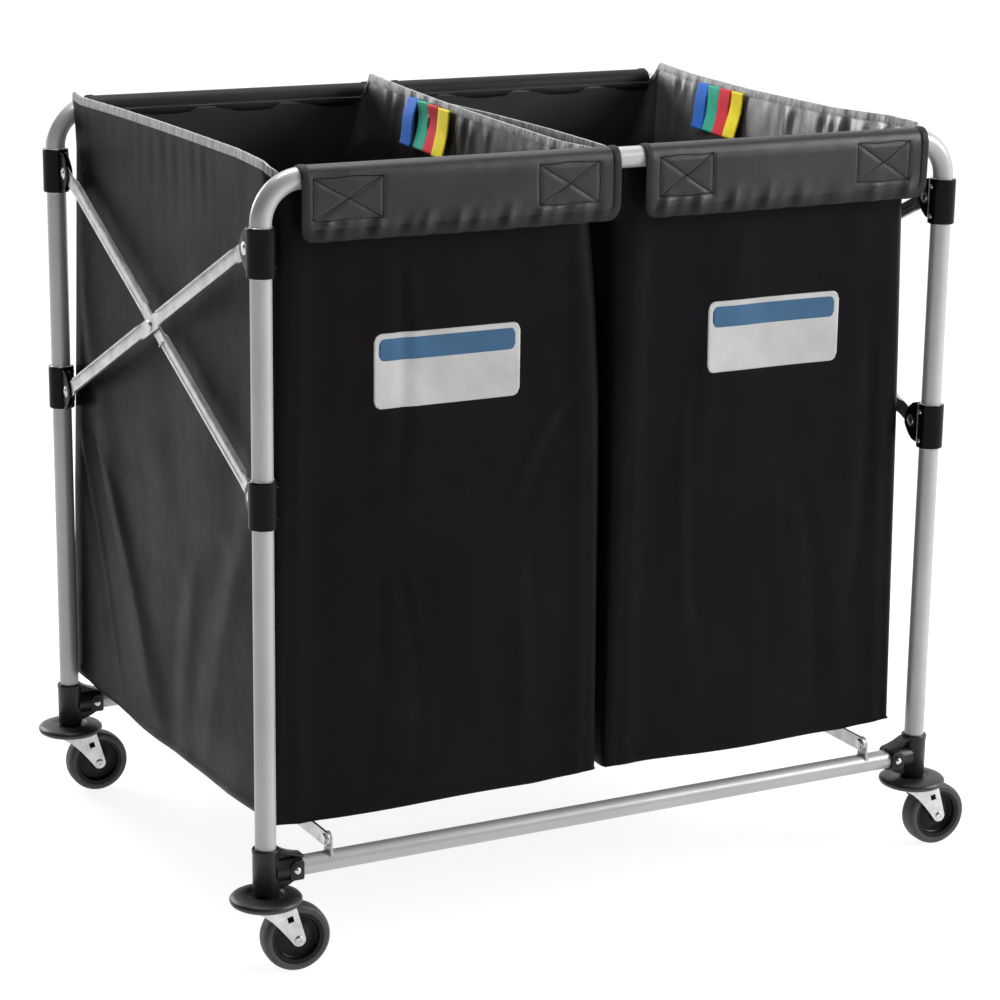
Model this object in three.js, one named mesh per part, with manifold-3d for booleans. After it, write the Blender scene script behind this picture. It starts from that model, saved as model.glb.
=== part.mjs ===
// Folding laundry sorter: two fabric bags hang side by side on a steel X-frame that rolls on four casters.
//
// Millimetres. +X runs to the right along the rails, +Y to the back and +Z up. The origin is on the floor,
// midway between the four legs. The model stands open, with its arms crossed and its base braces flat.

import * as THREE from 'three';
import { mergeVertices } from 'three/addons/utils/BufferGeometryUtils.js';
import Module from 'manifold-3d';

const wasm = await Module();
wasm.setup();

// ---- Driving dimensions ----------------------------------------------------------------------------

const GAP = 0.3; // clearance left between pieces that touch
const ROUND = 16; // sides of the large round pieces
const SMALL_ROUND = 10; // sides of pins, rivets and their holes

const LEG_X = 418; // leg centre lines, left and right of the middle
const LEG_Y = 304; // leg centre lines, in front of and behind the middle
const TUBE_R = 11.4; // tube of the hoops
const TUBE_WALL = 1.2;
const TOP_RAIL_Z = 850.6;
const BEND_R = 45; // centre-line radius of a hoop's two bends
const LEG_END_Z = 104.3; // a leg ends inside its foot

const RAIL_R = 11.1; // bottom rails
const RAIL_Z = 115;
const RAIL_INSET = 20.5; // a rail ends this far from the leg's centre line

const SLEEVE_R = 15.2; // clamps round the legs
const SLEEVE_BORE_R = 11.8;
const SLEEVE_HEIGHT = 50.5;
const PIVOT_REACH = 30; // from the leg's centre line to the pivot of an arm
const UPPER_PIVOT_Z = 778;
const LOWER_PIVOT_Z = 517;
const PIN_R = 3.2;
const PIN_HOLE_R = 3.6;

const ARM_WIDTH = 16; // pressed channel of the X arms
const ARM_DEPTH = 4.6;
const ARM_SHEET = 2.4;
const ARM_PLANE = 1.8; // the two arms of a side lie this far either side of the legs' plane

const BRACE_X = 345; // folding base braces
const BRACE_Z = 140;
const BRACE_WIDTH = 17;
const BRACE_SHEET = 3;

const TRAIL = 32; // casters: distance from the swivel axis back to the axle
const WHEEL_R = 37.5;
const CASTER_YAW = { front_left: -5, front_right: -3, rear_left: -3, rear_right: -6 }; // degrees

const BAG_WALL = 2;
const BAG_BOTTOM_Z = 165;
const BAG_TOP_Z = 860;
const BAGS = {
  left: { x: [-400, -8], flap: [-378, -11], tags: [49, 161] },
  right: { x: [4, 392], flap: [21, 385], tags: [66, 172] },
};
const FLAP_SHEET = 1.2;
const FLAP_HEM_Z = 788;
const CREST_GAP = 2; // half the slit between a bag and its flap, on top of the rail

const PIVOT_Y = LEG_Y - PIVOT_REACH;
const CROSS_Z = (UPPER_PIVOT_Z + LOWER_PIVOT_Z) / 2;
const ARM_ANGLE = Math.atan2(UPPER_PIVOT_Z - LOWER_PIVOT_Z, 2 * PIVOT_Y);
const ARM_LENGTH = Math.hypot(UPPER_PIVOT_Z - LOWER_PIVOT_Z, 2 * PIVOT_Y);

const SIDES = { left: -1, right: 1 };
const ENDS = { front: -1, rear: 1 };

// ---- Materials -------------------------------------------------------------------------------------

const finish = (color, roughness, metalness) =>
  new THREE.MeshStandardMaterial({ color, roughness, metalness });

const paint = finish('#a9a9ad', 0.4, 0.4); // silver-grey paint
const zinc = finish('#cfd0d2', 0.32, 0.9);
const plastic = finish('#1b1b1d', 0.55, 0);
const rubber = finish('#4b4b4e', 0.7, 0);
const cloth = finish('#141317', 0.6, 0);
const flapCloth = finish('#3c3b3e', 0.45, 0);
const ribbon = finish('#2f7fc4', 0.6, 0);

// ---- Solids ----------------------------------------------------------------------------------------

/** A closed geometry as a manifold solid, with its shared vertices merged. */
function toSolid(geometry) {
  const bare = geometry.clone();
  bare.deleteAttribute('normal');
  bare.deleteAttribute('uv');
  const merged = mergeVertices(bare);
  return new wasm.Manifold(
    new wasm.Mesh({
      numProp: 3,
      vertProperties: Float32Array.from(merged.getAttribute('position').array),
      triVerts: Uint32Array.from(merged.getIndex().array),
    })
  );
}

function toGeometry(solid) {
  const { vertProperties, triVerts } = solid.getMesh();
  const geometry = new THREE.BufferGeometry();
  geometry.setAttribute('position', new THREE.BufferAttribute(vertProperties, 3));
  geometry.setIndex(new THREE.BufferAttribute(triVerts, 1));
  geometry.computeVertexNormals();
  return geometry;
}

const join = (...parts) => parts.map(toSolid).reduce((whole, part) => whole.add(part));
const cut = (solid, ...parts) => parts.map(toSolid).reduce((left, part) => left.subtract(part), solid);

/** A box between two corners. */
function block([x0, y0, z0], [x1, y1, z1]) {
  const box = new THREE.BoxGeometry(x1 - x0, y1 - y0, z1 - z0);
  return box.translate((x0 + x1) / 2, (y0 + y1) / 2, (z0 + z1) / 2);
}

/** A round bar that runs from one value to another along an axis through the origin. */
function bar(axis, radius, from, to, segments = ROUND) {
  const geometry = new THREE.CylinderGeometry(radius, radius, to - from, segments);
  geometry.translate(0, (from + to) / 2, 0);
  if (axis === 'x') geometry.rotateZ(-Math.PI / 2);
  if (axis === 'z') geometry.rotateX(Math.PI / 2);
  return geometry;
}

/** A flat outline, given in (y, z), made into a sheet that lies between two x values. */
function sheetAcrossX(shape, x0, x1, curveSegments = 4) {
  const geometry = new THREE.ExtrudeGeometry(shape, { depth: x1 - x0, bevelEnabled: false, curveSegments });
  geometry.translate(0, 0, x0);
  const turn = new THREE.Matrix4().makeBasis(
    new THREE.Vector3(0, 1, 0),
    new THREE.Vector3(0, 0, 1),
    new THREE.Vector3(1, 0, 0)
  );
  return geometry.applyMatrix4(turn);
}

/** A flat outline, given in (x, z), made into a sheet that lies between two y values. */
function sheetAcrossY(shape, y0, y1, curveSegments = 4) {
  const geometry = new THREE.ExtrudeGeometry(shape, { depth: y1 - y0, bevelEnabled: false, curveSegments });
  return geometry.translate(0, 0, -y1).rotateX(Math.PI / 2);
}

/** Revolves (radius, height) points about the Z axis, or about Y as they come. */
function turned(points, segments, axis = 'z') {
  const profile = points.map(([r, h]) => new THREE.Vector2(r, h));
  const geometry = new THREE.LatheGeometry(profile, segments);
  return axis === 'z' ? geometry.rotateX(Math.PI / 2) : geometry;
}

const closedLoop = (points) => [...points, points[0]];

function outline(points) {
  return new THREE.Shape(points.map(([x, y]) => new THREE.Vector2(x, y)));
}

/** A straight strip with round ends about (0, 0) and (length, 0). */
function strip(length, width) {
  const r = width / 2;
  const shape = new THREE.Shape();
  shape.moveTo(0, -r);
  shape.lineTo(length, -r);
  shape.absarc(length, 0, r, -Math.PI / 2, Math.PI / 2);
  shape.lineTo(0, r);
  shape.absarc(0, 0, r, Math.PI / 2, 1.5 * Math.PI);
  return shape;
}

function ring(outer, inner) {
  const shape = new THREE.Shape();
  shape.absarc(0, 0, outer, 0, 2 * Math.PI);
  const hole = new THREE.Path();
  hole.absarc(0, 0, inner, 0, 2 * Math.PI);
  shape.holes.push(hole);
  return shape;
}

/** A centre line that is sampled only at its own stations, so that straight runs stay one step long. */
class Stations extends THREE.Curve {
  constructor(stations) {
    super();
    this.stations = stations;
    this.steps = stations.length - 1;
  }

  getPointAt(u, target = new THREE.Vector3()) {
    return target.copy(this.stations[Math.round(u * this.steps)].point);
  }

  getTangentAt(u, target = new THREE.Vector3()) {
    return target.copy(this.stations[Math.round(u * this.steps)].tangent);
  }
}

// ---- Frame -----------------------------------------------------------------------------------------

const BEND_STEPS = 5;

/** One hoop: two legs and the top rail, bent from one open-ended tube. */
function hoop() {
  const straight = LEG_X - BEND_R;
  const stations = [];
  const bend = (side, turnedBy) => {
    const angle = side < 0 ? Math.PI - turnedBy : Math.PI / 2 - turnedBy;
    const radial = new THREE.Vector3(Math.cos(angle), 0, Math.sin(angle));
    const centre = new THREE.Vector3(side * straight, 0, TOP_RAIL_Z - BEND_R);
    const point = centre.addScaledVector(radial, BEND_R);
    stations.push({ point, tangent: new THREE.Vector3(radial.z, 0, -radial.x) });
  };
  stations.push({ point: new THREE.Vector3(-LEG_X, 0, LEG_END_Z), tangent: new THREE.Vector3(0, 0, 1) });
  for (const side of [-1, 1]) {
    for (let i = 0; i <= BEND_STEPS; i++) bend(side, (i / BEND_STEPS) * (Math.PI / 2));
  }
  stations.push({ point: new THREE.Vector3(LEG_X, 0, LEG_END_Z), tangent: new THREE.Vector3(0, 0, -1) });
  const extrudePath = new Stations(stations);
  const section = ring(TUBE_R, TUBE_R - TUBE_WALL);
  return new THREE.ExtrudeGeometry(section, {
    steps: extrudePath.steps,
    curveSegments: ROUND / 2, // a circle gets twice as many sides
    extrudePath,
  });
}

/** One bottom rail, with the two lugs welded on its top that carry the base braces. */
function bottomRail(lugShift) {
  const end = LEG_X - RAIL_INSET;
  const rise = BRACE_Z - RAIL_Z;
  const base = RAIL_R - 1;
  const lug = new THREE.Shape();
  lug.moveTo(-base, 3);
  lug.lineTo(base, 3);
  lug.lineTo(base - 2, RAIL_R + 3);
  lug.absarc(0, rise, base - 2, 0, Math.PI);
  lug.lineTo(-base + 2, RAIL_R + 3);
  lug.closePath();
  const lugs = Object.values(SIDES).map((side) => {
    const x = side * BRACE_X + lugShift;
    return sheetAcrossX(lug, x - BRACE_SHEET / 2, x + BRACE_SHEET / 2);
  });
  const holes = bar('x', PIN_HOLE_R, -end, end, SMALL_ROUND).translate(0, 0, rise);
  const bore = bar('x', RAIL_R - TUBE_WALL, -end - 1, end + 1);
  return cut(join(bar('x', RAIL_R, -end, end), ...lugs), holes, bore);
}

/** The foot moulding: it takes the leg from above, the rail from its side and the caster's stem from below. */
function foot() {
  const bottom = 88.9;
  const top = 141.3;
  const reach = 42;
  const gusset = outline([
    [0, 92],
    [12, 92],
    [27, 97],
    [reach, 106],
    [reach, 124],
    [37, 130],
    [20, 136.5],
    [0, 139],
  ]);
  const barrel = bar('x', 14, 0, reach).translate(0, 0, RAIL_Z);
  const body = join(
    bar('z', 14.2, bottom, top),
    sheetAcrossY(gusset, -12.4, 12.4),
    barrel
  );
  return cut(
    body,
    bar('z', SLEEVE_BORE_R, LEG_END_Z - GAP, top + 1),
    bar('x', RAIL_R + 0.4, RAIL_INSET - GAP, reach + 1).translate(0, 0, RAIL_Z),
    bar('z', 6, bottom - 1, 100, SMALL_ROUND)
  );
}

/** The round wall bumper between a foot and its caster. */
function bumper() {
  const profile = [
    [8, 79.2],
    [31, 79.2],
    [37, 80.6],
    [39, 84],
    [37, 87.4],
    [28, 89.8],
    [20, 90.2],
    [18, 88.6],
    [8, 88.6],
  ];
  return toSolid(turned(closedLoop(profile), ROUND + 4));
}

/** A clamp round a leg at the origin, with a clevis towards +Y that holds an arm on its rivet. */
function clamp(planeShift) {
  const half = SLEEVE_HEIGHT / 2;
  const slot = ARM_SHEET / 2 + GAP;
  const cheek = 2.2;
  const head = 1.5;
  const ear = new THREE.Shape();
  ear.moveTo(6, -half + 2);
  ear.lineTo(22, -half + 2);
  ear.quadraticCurveTo(40, -half + 6, PIVOT_REACH + 13, -4);
  ear.lineTo(PIVOT_REACH + 13, 4);
  ear.quadraticCurveTo(40, half - 6, 22, half - 2);
  ear.lineTo(6, half - 2);
  ear.closePath();
  const ears = [-1, 1].map((side) => {
    const inner = planeShift + side * slot;
    const outer = planeShift + side * (slot + cheek);
    return sheetAcrossX(ear, Math.min(inner, outer), Math.max(inner, outer));
  });
  const reachOut = slot + cheek;
  const rivet = [
    bar('x', PIN_R, planeShift - reachOut, planeShift + reachOut, SMALL_ROUND),
    bar('x', 5.5, planeShift - reachOut - head, planeShift - reachOut + 0.1, SMALL_ROUND),
    bar('x', 5.5, planeShift + reachOut - 0.1, planeShift + reachOut + head, SMALL_ROUND),
  ].map((piece) => piece.translate(0, PIVOT_REACH, 0));
  const sleeve = bar('z', SLEEVE_R, -half, half);
  const bore = bar('z', SLEEVE_BORE_R, -half - 1, half + 1);
  return cut(join(sleeve, ...ears, ...rivet), bore);
}

/** An X arm along Y about the origin: a channel whose ends and middle are pressed flat. */
function arm(wallSide) {
  const endFlat = 31;
  const middleFlat = 24;
  const ramp = 8;
  const lip = 1.6;
  const edge = ARM_WIDTH / 2;
  const wallTop = wallSide * (ARM_DEPTH - ARM_SHEET / 2);
  const last = ARM_LENGTH / 2 - endFlat;
  const walls = [-1, 1].flatMap((half) => {
    const wall = outline([
      [0, half * middleFlat],
      [0, half * last],
      [wallTop, half * (last - ramp)],
      [wallTop, half * (middleFlat + ramp)],
    ]);
    const lower = new THREE.ExtrudeGeometry(wall, { depth: lip, bevelEnabled: false });
    lower.translate(0, 0, -edge);
    return [lower, lower.clone().translate(0, 0, 2 * edge - lip)];
  });
  const web = sheetAcrossX(strip(ARM_LENGTH, ARM_WIDTH), -ARM_SHEET / 2, ARM_SHEET / 2);
  web.translate(0, -ARM_LENGTH / 2, 0);
  const holes = [-ARM_LENGTH / 2, 0, ARM_LENGTH / 2].map((y) =>
    bar('x', PIN_HOLE_R, -ARM_SHEET, ARM_SHEET, SMALL_ROUND).translate(0, y, 0)
  );
  return cut(join(web, ...walls), ...holes);
}

/** A rivet along X about the origin that grips from one x value to another between its two heads. */
function rivet(from, to) {
  const head = 6.2;
  const dome = 1.8;
  const profile = [
    [0, from - dome],
    [head - 1.6, from - dome],
    [head, from],
    [PIN_R, from],
    [PIN_R, to],
    [head, to],
    [head - 1.6, to + dome],
    [0, to + dome],
  ];
  return toSolid(turned(profile, SMALL_ROUND, 'y').rotateZ(-Math.PI / 2));
}

/** Half of a folding base brace: a flat bar along +Y from its pivot, with half of the middle rivet on its end. */
function braceHalf(headSide) {
  const face = BRACE_SHEET / 2;
  const head = headSide < 0 ? [-face - 1.5, -face + 0.1] : [face - 0.1, face + 1.5];
  const flat = join(
    sheetAcrossX(strip(LEG_Y, BRACE_WIDTH), -face, face),
    bar('x', 6, ...head, SMALL_ROUND).translate(0, LEG_Y, 0)
  );
  return cut(flat, bar('x', PIN_HOLE_R, -BRACE_SHEET, BRACE_SHEET, SMALL_ROUND));
}

// ---- Casters, about the swivel axis, with the wheel trailing towards +X -----------------------------

const CROWN = [76.3, 78.6];
const CHEEK = [13.2, 15.2];
const AXLE_R = 3.9;

function fork() {
  const stemR = 5.6;
  const stemTop = 99.5;
  const nose = 7.3;
  const front = -14;
  const back = 28.5;
  const cheek = new THREE.Shape();
  cheek.moveTo(front, CROWN[1]);
  cheek.lineTo(front, 73.5);
  cheek.lineTo(-8, 68);
  cheek.absarc(TRAIL, WHEEL_R, nose, 1.22 * Math.PI, 2.06 * Math.PI);
  cheek.lineTo(back, CROWN[1]);
  cheek.closePath();
  const axleHole = new THREE.Path();
  axleHole.absarc(TRAIL, WHEEL_R, AXLE_R + GAP, 0, 2 * Math.PI);
  const window = new THREE.Path();
  const [wx, wz, side] = [22.5, 62, 7];
  window.moveTo(wx - side / 2, wz - side / 2);
  window.lineTo(wx + side / 2, wz - side / 2);
  window.lineTo(wx + side / 2, wz + side / 2);
  window.lineTo(wx - side / 2, wz + side / 2);
  window.closePath();
  cheek.holes.push(axleHole, window);
  return join(
    bar('z', 20, ...CROWN),
    block([front, -CHEEK[1], CROWN[0]], [back, CHEEK[1], CROWN[1]]),
    bar('z', stemR, CROWN[0], stemTop, SMALL_ROUND),
    sheetAcrossY(cheek, CHEEK[0], CHEEK[1]),
    sheetAcrossY(cheek, -CHEEK[1], -CHEEK[0])
  );
}

function axle() {
  const end = CHEEK[1] + GAP;
  const profile = [
    [0, -end - 2],
    [4.4, -end - 2],
    [6, -end],
    [AXLE_R, -end],
    [AXLE_R, end],
    [6, end],
    [4.4, end + 2],
    [0, end + 2],
  ];
  return toSolid(turned(profile, SMALL_ROUND, 'y')).translate(TRAIL, 0, WHEEL_R);
}

const HUB_R = 28.7;

function hub() {
  const side = [
    [AXLE_R + GAP, -12.6],
    [9.5, -12.6],
    [10.5, -5.5],
    [23.5, -5.5],
    [25, -10.8],
    [HUB_R, -10.8],
  ];
  const otherSide = side.map(([r, y]) => [r, -y]).reverse();
  return toSolid(turned(closedLoop([...side, ...otherSide]), ROUND, 'y')).translate(TRAIL, 0, WHEEL_R);
}

function tyre() {
  const side = [
    [HUB_R + 0.4, -11.5],
    [34, -11.8],
    [WHEEL_R, -7.5],
  ];
  const otherSide = side.map(([r, y]) => [r, -y]).reverse();
  return toSolid(turned(closedLoop([...side, ...otherSide]), ROUND + 4, 'y')).translate(TRAIL, 0, WHEEL_R);
}

// ---- Soft parts ------------------------------------------------------------------------------------

/** A strip that follows the rail's surface in (y, z) from one angle to another, both measured from its crest. */
function railWrap(from, to, tail = []) {
  const inner = TUBE_R + GAP;
  const outer = inner + FLAP_SHEET;
  const steps = 5;
  const arc = (r, a) => [r * Math.sin(a), r * Math.cos(a)];
  const angles = Array.from({ length: steps + 1 }, (_, i) => from + ((to - from) * i) / steps);
  return outline([...angles.map((a) => arc(outer, a)), ...tail, ...angles.reverse().map((a) => arc(inner, a))]);
}

const CREST = CREST_GAP / TUBE_R;

/** A bag: an open-topped box of cloth whose front and rear edges lap over the inner side of the rails. */
function bag({ x: [x0, x1], flap: [wrap0, wrap1] }) {
  const y1 = LEG_Y - TUBE_R - GAP;
  const inside = y1 - BAG_WALL;
  const shell = block([x0, -y1, BAG_BOTTOM_Z], [x1, y1, BAG_TOP_Z]);
  const hollow = block(
    [x0 + BAG_WALL, -inside, BAG_BOTTOM_Z + BAG_WALL],
    [x1 - BAG_WALL, inside, BAG_TOP_Z + 1]
  );
  const open = Object.values(ENDS).map((end) => {
    const [from, to] = [end * inside, end * (y1 + 1)].sort((a, b) => a - b);
    return block([x0 + BAG_WALL, from, TOP_RAIL_Z], [x1 - BAG_WALL, to, BAG_TOP_Z + 1]);
  });
  const wraps = Object.values(ENDS).map((end) => {
    const foldDown = [
      [-end * (TUBE_R + GAP + FLAP_SHEET), -4],
      [-end * (TUBE_R + GAP), -4],
    ];
    const wrap = railWrap(-end * CREST, (-end * Math.PI) / 2, foldDown);
    return toSolid(sheetAcrossX(wrap, wrap0, wrap1).translate(0, end * LEG_Y, TOP_RAIL_Z));
  });
  return wraps.reduce((whole, wrap) => whole.add(wrap), cut(toSolid(shell), hollow, ...open));
}

/** A flap that lies over the outer side of a rail and hangs below it, about the rail's centre line. */
function flap(end, [x0, x1]) {
  const hem = FLAP_HEM_Z - TOP_RAIL_Z;
  const inner = TUBE_R + GAP;
  const hanging = [
    [end * (inner + FLAP_SHEET), hem],
    [end * inner, hem],
  ];
  const curve = railWrap(end * CREST, (end * Math.PI) / 2, hanging);
  const cornerR = 14;
  const face = new THREE.Shape();
  face.moveTo(x0, 30);
  face.lineTo(x0, hem + cornerR);
  face.absarc(x0 + cornerR, hem + cornerR, cornerR, Math.PI, 1.5 * Math.PI);
  face.absarc(x1 - cornerR, hem + cornerR, cornerR, -Math.PI / 2, 0);
  face.lineTo(x1, 30);
  face.closePath();
  return toSolid(sheetAcrossX(curve, x0, x1)).intersect(toSolid(sheetAcrossY(face, -30, 30)));
}

/** Four ribbon tabs in a row, sewn together along their top edge, in (y, z). */
function tabs([y0, y1]) {
  const count = 4;
  const slit = 2;
  const [bottom, seam, top] = [805, 848, 856];
  const pitch = (y1 - y0) / count;
  const shape = new THREE.Shape();
  shape.moveTo(y0, top);
  for (let i = 0; i < count; i++) {
    const left = y0 + i * pitch;
    const right = left + pitch - (i < count - 1 ? slit : 0);
    if (i > 0) shape.lineTo(left, seam);
    shape.lineTo(left, bottom);
    shape.lineTo(right, bottom);
    if (i < count - 1) shape.lineTo(right, seam);
  }
  shape.lineTo(y1, top);
  shape.closePath();
  return shape;
}

// ---- Assembly --------------------------------------------------------------------------------------

const cart = new THREE.Group();

/** Adds a named mesh to a group and returns it, ready to be placed. */
function add(parent, name, shape, material) {
  const geometry = shape instanceof wasm.Manifold ? toGeometry(shape) : shape;
  const mesh = new THREE.Mesh(geometry, material);
  mesh.name = name;
  parent.add(mesh);
  return mesh;
}

/** A group that stands at a leg, turned so that its +Y points to the inside of the cart. */
function atLeg(side, end) {
  const group = new THREE.Group();
  group.position.set(side * LEG_X, end * LEG_Y, 0);
  group.rotation.z = end > 0 ? Math.PI : 0;
  cart.add(group);
  return group;
}

function addFrame() {
  for (const [endName, end] of Object.entries(ENDS)) {
    add(cart, `${endName}_hoop`, hoop(), paint).position.y = end * LEG_Y;
    const lugShift = end > 0 ? -BRACE_SHEET - GAP : 0;
    const rail = add(cart, `${endName}_bottom_rail`, bottomRail(lugShift), paint);
    rail.position.set(0, end * LEG_Y, RAIL_Z);
    for (const [sideName, side] of Object.entries(SIDES)) {
      const post = atLeg(side, end);
      const name = `${endName}_${sideName}`;
      add(post, `${name}_foot`, foot(), plastic).rotation.z = side * end < 0 ? Math.PI : 0;
      add(post, `${name}_bumper`, bumper(), plastic);
    }
  }
}

/** The clamps. An arm's plane is outside its legs for the outer arm and inside them for the inner arm. */
function addClamps() {
  for (const [endName, end] of Object.entries(ENDS)) {
    for (const [sideName, side] of Object.entries(SIDES)) {
      const post = atLeg(side, end);
      const name = `${endName}_${sideName}`;
      const upperPlane = side * ARM_PLANE;
      add(post, `${name}_upper_clamp`, clamp(upperPlane), plastic).position.z = UPPER_PIVOT_Z;
      add(post, `${name}_sliding_clamp`, clamp(-upperPlane), plastic).position.z = LOWER_PIVOT_Z;
    }
  }
}

/** The outer arm runs down from the front upper clamp, and the inner arm up from the front lower clamp. */
function addArms() {
  for (const [sideName, side] of Object.entries(SIDES)) {
    const outer = add(cart, `${sideName}_outer_arm`, arm(side), zinc);
    outer.position.set(side * (LEG_X + ARM_PLANE), 0, CROSS_Z);
    outer.rotation.x = -ARM_ANGLE;
    const inner = add(cart, `${sideName}_inner_arm`, arm(-side), zinc);
    inner.position.set(side * (LEG_X - ARM_PLANE), 0, CROSS_Z);
    inner.rotation.x = ARM_ANGLE;
    const grip = ARM_PLANE + ARM_SHEET / 2 + GAP;
    add(cart, `${sideName}_cross_rivet`, rivet(-grip, grip), zinc).position.set(side * LEG_X, 0, CROSS_Z);
  }
}

/** The base braces. Each half lies on the left of its lug, and the rear half on the left of the front one. */
function addBraces() {
  const pitch = BRACE_SHEET + GAP;
  const face = BRACE_SHEET / 2 + GAP;
  for (const [sideName, side] of Object.entries(SIDES)) {
    const lug = side * BRACE_X;
    const front = add(cart, `${sideName}_front_brace_bar`, braceHalf(1), zinc);
    front.position.set(lug - pitch, -LEG_Y, BRACE_Z);
    const rear = add(cart, `${sideName}_rear_brace_bar`, braceHalf(1), zinc);
    rear.position.set(lug - 2 * pitch, LEG_Y, BRACE_Z);
    rear.rotation.z = Math.PI;
    const pin = rivet(-pitch - face, face);
    add(cart, `front_${sideName}_brace_rivet`, pin, zinc).position.set(lug, -LEG_Y, BRACE_Z);
    add(cart, `rear_${sideName}_brace_rivet`, pin, zinc).position.set(lug - pitch, LEG_Y, BRACE_Z);
  }
}

function addCasters() {
  for (const [name, yaw] of Object.entries(CASTER_YAW)) {
    const [endName, sideName] = name.split('_');
    const caster = new THREE.Group();
    caster.position.set(SIDES[sideName] * LEG_X, ENDS[endName] * LEG_Y, 0);
    caster.rotation.z = THREE.MathUtils.degToRad(yaw);
    cart.add(caster);
    add(caster, `${name}_fork`, fork(), zinc);
    add(caster, `${name}_axle`, axle(), zinc);
    add(caster, `${name}_hub`, hub(), plastic);
    add(caster, `${name}_tyre`, tyre(), rubber);
  }
}

function addBags() {
  const tabSheet = 1.2;
  for (const [sideName, spec] of Object.entries(BAGS)) {
    add(cart, `${sideName}_bag`, bag(spec), cloth);
    for (const [endName, end] of Object.entries(ENDS)) {
      const cover = add(cart, `${sideName}_${endName}_flap`, flap(end, spec.flap), flapCloth);
      cover.position.set(0, end * LEG_Y, TOP_RAIL_Z);
    }
    const wall = spec.x[1] - BAG_WALL - GAP;
    add(cart, `${sideName}_tabs`, sheetAcrossX(tabs(spec.tags), wall - tabSheet, wall), ribbon);
  }
}

addFrame();
addClamps();
addArms();
addBraces();
addCasters();
addBags();

export default cart;
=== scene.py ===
"""A folding laundry sorter on four casters: two cloth bags hang side by side on a steel X-frame.

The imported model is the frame. Shapes are worked out in millimetres, in the CAD's own coordinates, and become
metres when their object is made. Each piece rides on the body of the CAD node that it stands for.
"""

import math
import random

import bmesh
import bpy
import numpy as np
from mathutils import Matrix, Vector


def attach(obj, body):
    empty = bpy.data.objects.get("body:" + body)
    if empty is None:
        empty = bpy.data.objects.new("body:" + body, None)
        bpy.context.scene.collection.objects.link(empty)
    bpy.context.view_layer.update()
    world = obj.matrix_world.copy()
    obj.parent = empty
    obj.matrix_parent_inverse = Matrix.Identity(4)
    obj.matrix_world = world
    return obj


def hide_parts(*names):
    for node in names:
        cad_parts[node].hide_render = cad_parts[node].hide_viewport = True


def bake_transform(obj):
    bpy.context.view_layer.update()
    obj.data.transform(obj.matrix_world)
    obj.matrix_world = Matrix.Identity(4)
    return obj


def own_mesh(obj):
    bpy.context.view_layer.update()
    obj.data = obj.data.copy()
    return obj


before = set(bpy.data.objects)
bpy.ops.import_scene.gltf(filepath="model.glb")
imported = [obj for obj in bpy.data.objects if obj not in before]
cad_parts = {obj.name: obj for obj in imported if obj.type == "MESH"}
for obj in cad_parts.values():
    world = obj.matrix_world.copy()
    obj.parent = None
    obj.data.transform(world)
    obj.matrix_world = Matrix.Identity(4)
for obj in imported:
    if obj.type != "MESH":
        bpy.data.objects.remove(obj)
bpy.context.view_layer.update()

# ---- Driving dimensions, in millimetres ----

MM = 0.001

LEG_X = 418
LEG_Y = 304
TUBE_R = 11.4
RAIL_TOP_Z = 850.6
BEND_R = 45
LEG_END_Z = 104.3
RAIL_R = 11.1
RAIL_Z = 115
RAIL_END = 397.5

SLEEVE_R = 15.2
SLEEVE_HEIGHT = 50.5
PIVOT_REACH = 30
UPPER_PIVOT_Z = 778
LOWER_PIVOT_Z = 517
PIN_R = 3.2
ARM_DEPTH = 4.6
ARM_PLANE = 1.8

BRACE_X = 345
BRACE_Z = 140
BRACE_SHEET = 3
BRACE_PITCH = 3.3

TRAIL = 32
WHEEL_R = 37.5
CASTER_YAW = {"front_left": -5, "front_right": -3, "rear_left": -3, "rear_right": -6}

PIVOT_Y = LEG_Y - PIVOT_REACH
CROSS_Z = (UPPER_PIVOT_Z + LOWER_PIVOT_Z) / 2
ARM_ANGLE = math.atan2(UPPER_PIVOT_Z - LOWER_PIVOT_Z, 2 * PIVOT_Y)
ARM_HALF = math.hypot(UPPER_PIVOT_Z - LOWER_PIVOT_Z, 2 * PIVOT_Y) / 2

SIDES = {"left": -1, "right": 1}
ENDS = {"front": -1, "rear": 1}

# ---- Camera, light and floor ----

CAMERA_PLACE = (-1.5558, -2.9557, 1.2892)  # metres
CAMERA_AZIMUTH = 28.05  # degrees from +Y towards +X
CAMERA_DOWN = 14.88
CAMERA_ROLL = 0.77
CAMERA_LENS = 104.7
STUDIO_BRIGHT_SIDE = (0.85, 0.5, 0.15)  # the direction in which the sweep is brightest
STUDIO_DIM, STUDIO_BRIGHT = 0.06, 1.02  # its strength on the two sides
FLOOR_GLOW = 0.88


def linked(name, data):
    """A new object in the scene."""
    made = bpy.data.objects.new(name, data)
    bpy.context.scene.collection.objects.link(made)
    return made


def make_camera():
    """A camera that looks down at the front left corner, rolled a little about its line of sight."""
    azimuth = math.radians(CAMERA_AZIMUTH)
    down = math.radians(CAMERA_DOWN)
    roll = math.radians(CAMERA_ROLL)
    look = Vector((math.sin(azimuth) * math.cos(down), math.cos(azimuth) * math.cos(down), -math.sin(down)))
    level = Vector((math.cos(azimuth), -math.sin(azimuth), 0))
    upright = level.cross(look)
    right = math.cos(roll) * level + math.sin(roll) * upright
    up = math.cos(roll) * upright - math.sin(roll) * level
    data = bpy.data.cameras.new("camera")
    data.lens = CAMERA_LENS
    data.sensor_width = 36
    data.clip_end = 300
    camera = linked("camera", data)
    camera.matrix_world = Matrix.Translation(CAMERA_PLACE) @ Matrix((right, up, -look)).transposed().to_4x4()
    bpy.context.scene.camera = camera


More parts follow.
